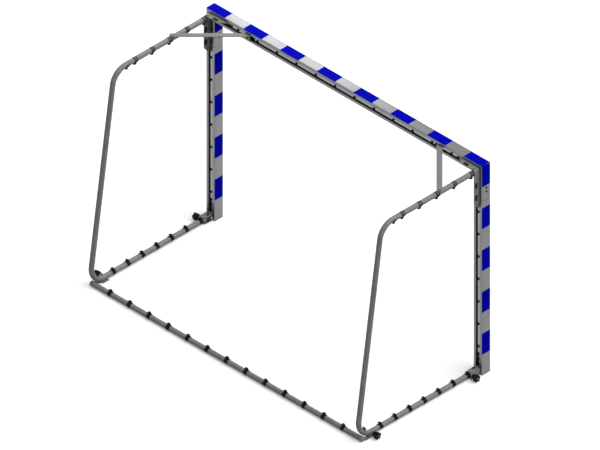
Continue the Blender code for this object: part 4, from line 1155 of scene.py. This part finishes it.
def make_foot_cap():
    low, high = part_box("right_foot_cap")
    sole = move(plate(profile_section(), POST_FOOT - GAP - low.z), (POST_X, FRONT, low.z))
    half = PROFILE / 2 - CAP_PLAY
    plug = block((POST_X - half, FRONT + CAP_PLAY, low.z + 0.001),
                 (POST_X + half, FRONT + CHANNEL_FLOOR - CAP_PLAY, high.z), 0.001)
    return merge(soften(sole, 0.0007, 2, 50), plug)


def make_catch():
    low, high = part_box("right_strut_catch")
    bm = block(low, high, 0.002)
    back = max(bm.faces, key=lambda face: face.calc_center_median().y)
    bmesh.ops.inset_individual(bm, faces=[back], thickness=CATCH_WALL)
    bmesh.ops.translate(bm, vec=(0, -CATCH_CORE, 0), verts=back.verts)
    screw = middle("right_catch_screw")
    boss = move(soften(rod(CATCH_BOSS, 0, high.y - low.y - 0.004), 0.0008),
                facing(BACKWARD, (screw.x, low.y + CATCH_FACE, screw.z)))
    ribs = [block((screw.x + offset - RIB_HALF, high.y - CATCH_CORE - 0.001, low.z + 0.002),
                  (screw.x + offset + RIB_HALF, high.y - 0.001, high.z - 0.002), 0.0003)
            for offset in (-RIB_OFFSET, RIB_OFFSET)]
    return merge(bm, boss, *ribs)


finish_pair("moulded_foot", make_foot_cap, black_finish, "frame", "foot_cap")
finish_pair("moulded_catch", make_catch, black_finish, "frame", "strut_catch")

# %% [markdown]
# ## Net hooks in the channels
#
# The net hangs on black hooks that sit on an aluminium strip in each channel. The strip is a U
# section, open towards the channel's floor, so that its face stands close to the channel's mouth.
# It is drawn as an outline and extruded along the channel. Under each strut's catch, the strip is
# cut down to a flat bar. A hook is a finger with a raised lip. All hooks of a strip come from the
# same mould and never move apart, so they share a mesh.

# %% Hooks and strips
HOOK_PITCH = 0.180
HOOK_WIDTH = 0.012
HOOK_INSET = 0.050
HOOK_SINK = 0.0005
HOOK_FOOT = (0.0088, 0.0085)
HOOK_FOOT_THICK = 0.0018
FINGER = 0.0032
LIP_RISE = 0.0044
LIP_DEPTH = 0.0052
LIP_ROOT = 0.002
STRIP_DEPTH = 0.014
STRIP_WALL = 0.002
STRIP_ROUND = 0.0015
STRIP_FLAT = 0.003
CATCH_ROOM = 0.012
rail_low, rail_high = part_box("right_post_hook_rail")
STRIP_HALF = (rail_high.x - rail_low.x) / 2
CHANNEL_SEAT = FRONT + CHANNEL_FLOOR + GAP
UPRIGHT, ACROSS = ((0, 1, 0), (1, 0, 0), (0, 0, -1)), ((0, 1, 0), (0, 0, 1), (1, 0, 0))


def make_hook(place, direction):
    """A finger seen from its side, back out of the channel and up its lip, with a square foot."""
    face = CHANNEL_SEAT + STRIP_DEPTH
    start, end, half = face - 2 * HOOK_SINK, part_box("crossbar_hook_rail")[1].y, FINGER / 2
    outline = ([(start, -half)] + arc((end - half, 0), half, -90, 0, 4)
               + arc((end - half, LIP_RISE), half, 0, 180, 8)
               + arc((end - LIP_DEPTH, half + LIP_ROOT), LIP_ROOT, 0, -90, 4) + [(start, half)])
    finger = move(soften(plate(outline, HOOK_WIDTH), 0.0005, 2, 50), (0, 0, -HOOK_WIDTH / 2))
    foot = block((face - HOOK_SINK, -HOOK_FOOT[0], -HOOK_FOOT[1]),
                 (face + HOOK_FOOT_THICK, *HOOK_FOOT), 0.0007)
    return move(merge(finger, foot), axes(*direction, place))


def make_strip(centre, start, end, direction):
    """A length of the U section along a channel, from one place to another."""
    face, inner_face = STRIP_DEPTH - STRIP_ROUND, STRIP_DEPTH - STRIP_WALL
    inner = STRIP_HALF - STRIP_WALL
    section = ([(0, -STRIP_HALF)]
               + arc((face, -STRIP_HALF + STRIP_ROUND), STRIP_ROUND, -90, 0, 5)
               + arc((face, STRIP_HALF - STRIP_ROUND), STRIP_ROUND, 0, 90, 5)
               + [(0, STRIP_HALF), (0, inner), (inner_face, inner), (inner_face, -inner), (0, -inner)])
    foot = -end if direction is UPRIGHT else start
    return move(move(plate(section, end - start), (0, 0, foot)), axes(*direction, centre))


print(f"a hook strip is {STRIP_HALF * 2000:.0f} mm wide")

# %% Crossbar and post hook rails
rail_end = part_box("crossbar_hook_rail")[1].x
catch_low, catch_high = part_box("right_strut_catch")
flat_start, flat_end = catch_low.x - CATCH_ROOM, catch_high.x + CATCH_ROOM
strip_centre = (0, CHANNEL_SEAT, BAR_Z)
crossbar_strip = [make_strip(strip_centre, -flat_start, flat_start, ACROSS)]
for side in (-1, 1):
    near, far = sorted((side * flat_end, side * rail_end))
    crossbar_strip.append(make_strip(strip_centre, near, far, ACROSS))
    near, far = sorted((side * (flat_start - STRIP_WALL), side * (flat_end + STRIP_WALL)))
    crossbar_strip.append(block((near, CHANNEL_SEAT, BAR_Z - STRIP_HALF),
                                (far, CHANNEL_SEAT + STRIP_FLAT, BAR_Z + STRIP_HALF), 0.0004))
crossbar_count = round(2 * (rail_end - HOOK_INSET) / HOOK_PITCH) + 1
crossbar_places = [((index - (crossbar_count - 1) / 2) * HOOK_PITCH, 0, BAR_Z)
                   for index in range(crossbar_count)]
post_count = round((rail_high.z - rail_low.z - 2 * HOOK_INSET) / HOOK_PITCH) + 1
post_places = [(POST_X, 0, rail_low.z + HOOK_INSET + index * HOOK_PITCH)
               for index in range(post_count)]

finish_piece("crossbar_hook_strip", merge(*crossbar_strip), rail_x_finish, "frame",
             ["crossbar_hook_rail"])
finish_piece("crossbar_net_hooks", merge(*[make_hook(place, ACROSS) for place in crossbar_places]),
             black_finish, "frame")
finish_pair("post_hook_strip", lambda: make_strip((POST_X, CHANNEL_SEAT, 0), rail_low.z, rail_high.z,
                                                  UPRIGHT), rail_z_finish, "frame", "post_hook_rail")
finish_pair("post_net_hooks", lambda: merge(*[make_hook(place, UPRIGHT) for place in post_places]),
            black_finish, "frame")
print(crossbar_count, "hooks on the crossbar and", post_count, "on each post")

# %% [markdown]
# ## Net clips on the tubes
#
# A clip is a black saddle that hugs half of the tube and carries a hook. A grey band round the
# tube holds it, over a thin black rubber liner that keeps it from slipping. All three are turned:
# a small section is spun about the tube's axis, all the way for band and liner, and half of the
# way for the saddle. On the ground bar, band and liner stay open below, where the bar nearly
# touches the floor. The clips on each hoop's two bends have no band. The lower one lies in the
# bend, has only a narrow saddle, and is riveted.

# %% Parts of a net clip
LINER_WIDTH = 0.030
LINER_THICK = 0.0006
LINER_PLAY = 0.0001
BAND_WIDTH = 0.017
BAND_THICK = 0.0013
BAND_OPENING = 70
SADDLE_WIDTH = 0.027
SADDLE_THICK = 0.0034
SADDLE_ANGLE = 196
RIVETED_SADDLE_ANGLE = 84
CLIP_RISE = 0.0142
CLIP_ROOT = 0.001
CLIP_STEM = 0.020
CLIP_FOOT = (-0.009, 0.003)
# A place along the clip, a height against its top, a radius, two angles and a count of steps
CLIP_ROUNDS = ((0.005, -0.0070, 0.002, 180, 90, 5), (0.0106, -0.0025, 0.0025, -90, 90, 8),
               (-0.0045, -0.0045, 0.0045, 90, 180, 6))


def spun_ring(inner, outer, width, degrees, steps):
    """A rectangle spun about the X axis, centred on +Z. A part turn gets its two ends closed."""
    bm = bmesh.new()
    corners = [(-width / 2, inner), (width / 2, inner), (width / 2, outer), (-width / 2, outer)]
    section = [bm.verts.new((x, 0, z)) for x, z in corners]
    edges = [bm.edges.new(pair) for pair in zip(section, section[1:] + section[:1])]
    full = degrees >= 360
    if not full:
        bmesh.ops.rotate(bm, verts=section, cent=(0, 0, 0),
                         matrix=Matrix.Rotation(math.radians(-degrees / 2), 3, "X"))
    bmesh.ops.spin(bm, geom=section + edges, cent=(0, 0, 0), axis=(1, 0, 0),
                   angle=math.radians(degrees), steps=steps, use_merge=full)
    if not full:
        bmesh.ops.holes_fill(bm, edges=[edge for edge in bm.edges if edge.is_boundary], sides=4)
    bmesh.ops.recalc_face_normals(bm, faces=bm.faces)
    return bm


def make_band(opening=0):
    return soften(spun_ring(TUBE_RADIUS + LINER_THICK + LINER_PLAY, TUBE_RADIUS + BAND_THICK,
                            BAND_WIDTH, 360 - opening, 36), 0.0002, 1, 50)


def make_liner(opening=0):
    return spun_ring(TUBE_RADIUS + LINER_PLAY, TUBE_RADIUS + LINER_THICK, LINER_WIDTH,
                     360 - opening, 36)


def make_saddle(angle=SADDLE_ANGLE):
    """Part of a ring with a hook on it. The hook's outline has a throat, a tip and a back."""
    saddle = spun_ring(TUBE_RADIUS + LINER_THICK, TUBE_RADIUS + SADDLE_THICK, SADDLE_WIDTH,
                       angle, 24)
    root, top = TUBE_RADIUS + CLIP_ROOT, TUBE_RADIUS + BAND_THICK + CLIP_RISE
    outline = [(along, root) for along in CLIP_FOOT]
    for along, height, radius, *turn in CLIP_ROUNDS:
        outline += arc((along, top + height), radius, *turn)
    hook = soften(plate(outline, CLIP_STEM), 0.0012, 2, 40)
    return merge(soften(saddle, 0.0007, 2, 50), move(hook, axes(*IN_BACK_PLANE, (0, CLIP_STEM / 2, 0))))


print(f"a band is {BAND_WIDTH * 1000:.0f} mm wide, its liner {LINER_WIDTH * 1000:.0f} mm")

# %% Net clips
BEND_CLIP_ANGLE = math.radians(-42.5)
UPPER_FIRST, UPPER_PITCH = 0.016, 0.160
LOWER_FIRST, LOWER_PITCH = 0.050, 0.135
CLIP_ROOM = 0.020
BEND_ROOM = 0.108
BAR_PITCH, BAR_END_ROOM = 0.180, 0.100


def clip_place(point, along, towards_hook):
    along, up = Vector(along).normalized(), Vector(towards_hook).normalized()
    return axes(along, up.cross(along), up, point)


def row(first, pitch, last):
    return [first + index * pitch for index in range(int((last - first) / pitch) + 1)]


def repeated(make, places, *details):
    return merge(*[move(make(*details), place) for place in places])


clamp_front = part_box("right_bar_clamp")[0].y
upper_last = leg_y(UPPER_Z) - BEND_ROOM
hoop_places = [clip_place((POST_X, y, UPPER_Z), (0, 1, 0), (0, 0, -1))
               for y in row(HOOP_START + UPPER_FIRST, UPPER_PITCH, upper_last - CLIP_ROOM)]
hoop_places += [clip_place((POST_X, y, LOWER_Z), (0, 1, 0), (0, 0, 1))
                for y in row(HOOP_START + LOWER_FIRST, LOWER_PITCH, clamp_front - CLIP_ROOM)]
upper_bend_place = clip_place((POST_X, upper_last, UPPER_Z), (0, -1, 0), (0, 0, -1))
outward = Vector((0, math.cos(BEND_CLIP_ANGLE), math.sin(BEND_CLIP_ANGLE)))
lower_bend_place = clip_place(LOWER_BEND + outward * BEND, (0, -outward.z, outward.y), -outward)
bar_row = row(BAR_PITCH, BAR_PITCH, POST_X - BAR_END_ROOM)
bar_places = [clip_place((x, BAR_AXIS.y, BAR_AXIS.z), (1, 0, 0), (0, 0, 1))
              for x in [-x for x in bar_row] + [0] + bar_row]


def make_hoop_saddles():
    return merge(repeated(make_saddle, [*hoop_places, upper_bend_place]),
                 repeated(make_saddle, [lower_bend_place], RIVETED_SADDLE_ANGLE))


finish_pair("hoop_clip_bands", lambda: repeated(make_band, hoop_places), grey_finish,
            "{}_side_hoop")
finish_pair("hoop_clip_liners", lambda: repeated(make_liner, hoop_places), black_finish,
            "{}_side_hoop")
finish_pair("hoop_net_clips", make_hoop_saddles, black_finish, "{}_side_hoop")
for name, make, details, material in (("clip_bands", make_band, [BAND_OPENING], grey_finish),
                                      ("clip_liners", make_liner, [BAND_OPENING], black_finish),
                                      ("net_clips", make_saddle, [], black_finish)):
    finish_piece(f"ground_bar_{name}", repeated(make, bar_places, *details), material,
                 "ground_rail")
print(len(hoop_places) + 2, "clips on each hoop and", len(bar_places), "on the ground bar")

# %% [markdown]
# ## Bar clamps and end plugs
#
# At each end the bar has an angle welded to it. Its base runs under the hoop and widens into a
# tongue, and its upright stands outside the hoop: a low rib that rises to a round lug for the rear
# star knob. Both are flat outlines that are filled, extruded to the sheet's thickness and set
# against each other. The plug in the bar's end has a flange with a rounded rim and a shallow dish.

# %% Clamps and plugs
LUG_RADIUS = 0.0185
LUG_FOOT = 0.036
RIB = 0.010
TONGUE = 0.052
TONGUE_TAPER = 0.022
NECK_X = POST_X - 0.003
NECK_WELD, RIB_WELD = 0.0024, 0.0016


def make_clamp():
    low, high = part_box("right_bar_clamp")
    stud = middle("right_rear_knob_stud")
    web_x = high.x - EAR
    outline = ([(low.y, low.z), (high.y, low.z), (high.y, low.z + RIB),
                (stud.y + LUG_FOOT, low.z + RIB)]
               + arc((stud.y, high.z - LUG_RADIUS), LUG_RADIUS, 0, 180, 24)
               + [(low.y, low.z + RIB)])
    upright = soften(plate(outline, EAR, [circle((stud.y, stud.z), STUD_HOLE)]), EDGE)
    base = plate([(low.x, low.y), (web_x - TOUCH, low.y), (web_x - TOUCH, high.y),
                  (NECK_X, high.y), (NECK_X, low.y + TONGUE + TONGUE_TAPER),
                  (low.x, low.y + TONGUE)], EAR, [])
    seat = low.z + EAR
    return merge(move(upright, axes(*IN_SIDE_PLANE, (web_x, 0, 0))),
                 move(soften(base, EDGE), (0, 0, low.z)),
                 weld_bead((POST_X, high.y - WELD_LIFT, seat + WELD_LIFT),
                           (web_x, high.y - WELD_LIFT, seat + WELD_LIFT), NECK_WELD),
                 weld_bead((web_x, low.y + SEAM_INSET, seat), (web_x, high.y - SEAM_INSET, seat),
                           RIB_WELD))


def make_end_plug():
    flange = recessed(rod(TUBE_RADIUS, 0, PLUG_FLANGE, 48), PLUG_FLANGE, PLUG_FLANGE * 0.5, 0.004,
                      PLUG_FLANGE * 0.4)
    shank = rod(PLUG_RADIUS, cap_low.x - BAR_HALF, PLUG_FLANGE * 0.3)
    return move(merge(flange, shank), facing(OUT, (BAR_HALF, BAR_AXIS.y, BAR_AXIS.z)))


finish_pair("welded_clamp", make_clamp, plate_finish, "ground_rail", "bar_clamp")
finish_pair("bar_plug", make_end_plug, pale_finish, "ground_rail", "bar_end_cap")

# %% [markdown]
# ## Star knobs
#
# A star knob is a five-lobed grip on a stem, moulded round a threaded stud. A circle of points is
# pushed out and in by a cosine to make the lobes, one of which points up, and extruded. Wide bevels
# round the rims. The face is then extruded in place and scaled down twice, the second time a little
# lower: that leaves a raised rim round a shallow dish, with the stud's end in its middle. An inset
# would cross itself on a face with this many points.

# %% Star knobs
KNOB_SIDES = 120
KNOB_LOBES = 5
KNOB_LOBE = 0.0036
KNOB_HEAD = 0.034
KNOB_ROUND = 0.0040
KNOB_DISH = ((0.90, 0.0), (0.84, 0.0012))
BUSH_RADIUS = 0.0082
BUSH_LENGTH = 0.008
BUSH_INSET = 0.0006
STEM_RADIUS = 0.010
STEM_FLARE = 1.35
STEM_OVERLAP = 0.002
STUD_END = 0.0046
STUD_END_LENGTH = 0.004
STUD_END_DROP = 0.0002


def make_knob(node):
    low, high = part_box(node)
    stud = middle(f"{node}_stud")
    length = high.x - low.x
    stem_length = length - KNOB_HEAD
    mean_radius = high.z - stud.z - KNOB_LOBE
    bm = bmesh.new()
    ring = bmesh.ops.create_circle(bm, cap_ends=True, radius=1, segments=KNOB_SIDES)["verts"]
    for vertex in ring:
        angle = math.atan2(vertex.co.y, -vertex.co.x)
        vertex.co = vertex.co * (mean_radius + KNOB_LOBE * math.cos(KNOB_LOBES * angle))
    soften(extrude_up(bm, KNOB_HEAD), KNOB_ROUND, 5, 60)
    cap = highest_face(bm)
    for scale, drop in KNOB_DISH:
        cap = bmesh.ops.extrude_discrete_faces(bm, faces=[cap])["faces"][0]
        bmesh.ops.scale(bm, vec=(scale, scale, 1), verts=cap.verts)
        bmesh.ops.translate(bm, vec=(0, 0, -drop), verts=cap.verts)
    stem = rod(STEM_RADIUS, 0, stem_length + STEM_OVERLAP, 40, STEM_RADIUS * STEM_FLARE)
    bush = rod(BUSH_RADIUS, length - BUSH_LENGTH, length - BUSH_INSET, 40)
    whole = merge(move(bm, (0, 0, stem_length)), soften(stem, 0.0008), soften(bush, 0.0008))
    return move(whole, facing(OUT, (low.x, stud.y, stud.z)))


def make_stud_end(node):
    """The polished end of the stud in the middle of the knob."""
    stud = middle(f"{node}_stud")
    return move(soften(rod(STUD_END, -STUD_END_LENGTH, -STUD_END_DROP, 32), 0.0008),
                facing(OUT, (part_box(node)[1].x, stud.y, stud.z)))


for end in ("front", "rear"):
    node, body = f"{end}_knob", f"{{}}_{end}_star_knob"
    finish_pair(f"{end}_star_grip", lambda: make_knob(f"right_{node}"), black_finish, body, node)
    finish_pair(f"{end}_stud_end", lambda: make_stud_end(f"right_{node}"), screw_finish, body)

# %% [markdown]
# ## Pieces kept from the frame
#
# The sleeves inside the post joints and the studs inside the star knobs are already right in the
# frame, so their nodes stay. They only need a finish: plated sheet for the sleeves, and plated
# screw for the studs.

# %% Finishes of the kept nodes
kept_nodes = {name: node for name, node in frame["nodes"].items() if not node.hide_render}
for name, node in kept_nodes.items():
    node.data.materials.clear()
    node.data.materials.append(plate_finish if name.endswith("joint_sleeve") else screw_finish)
print("kept from the frame:", ", ".join(sorted(kept_nodes)))
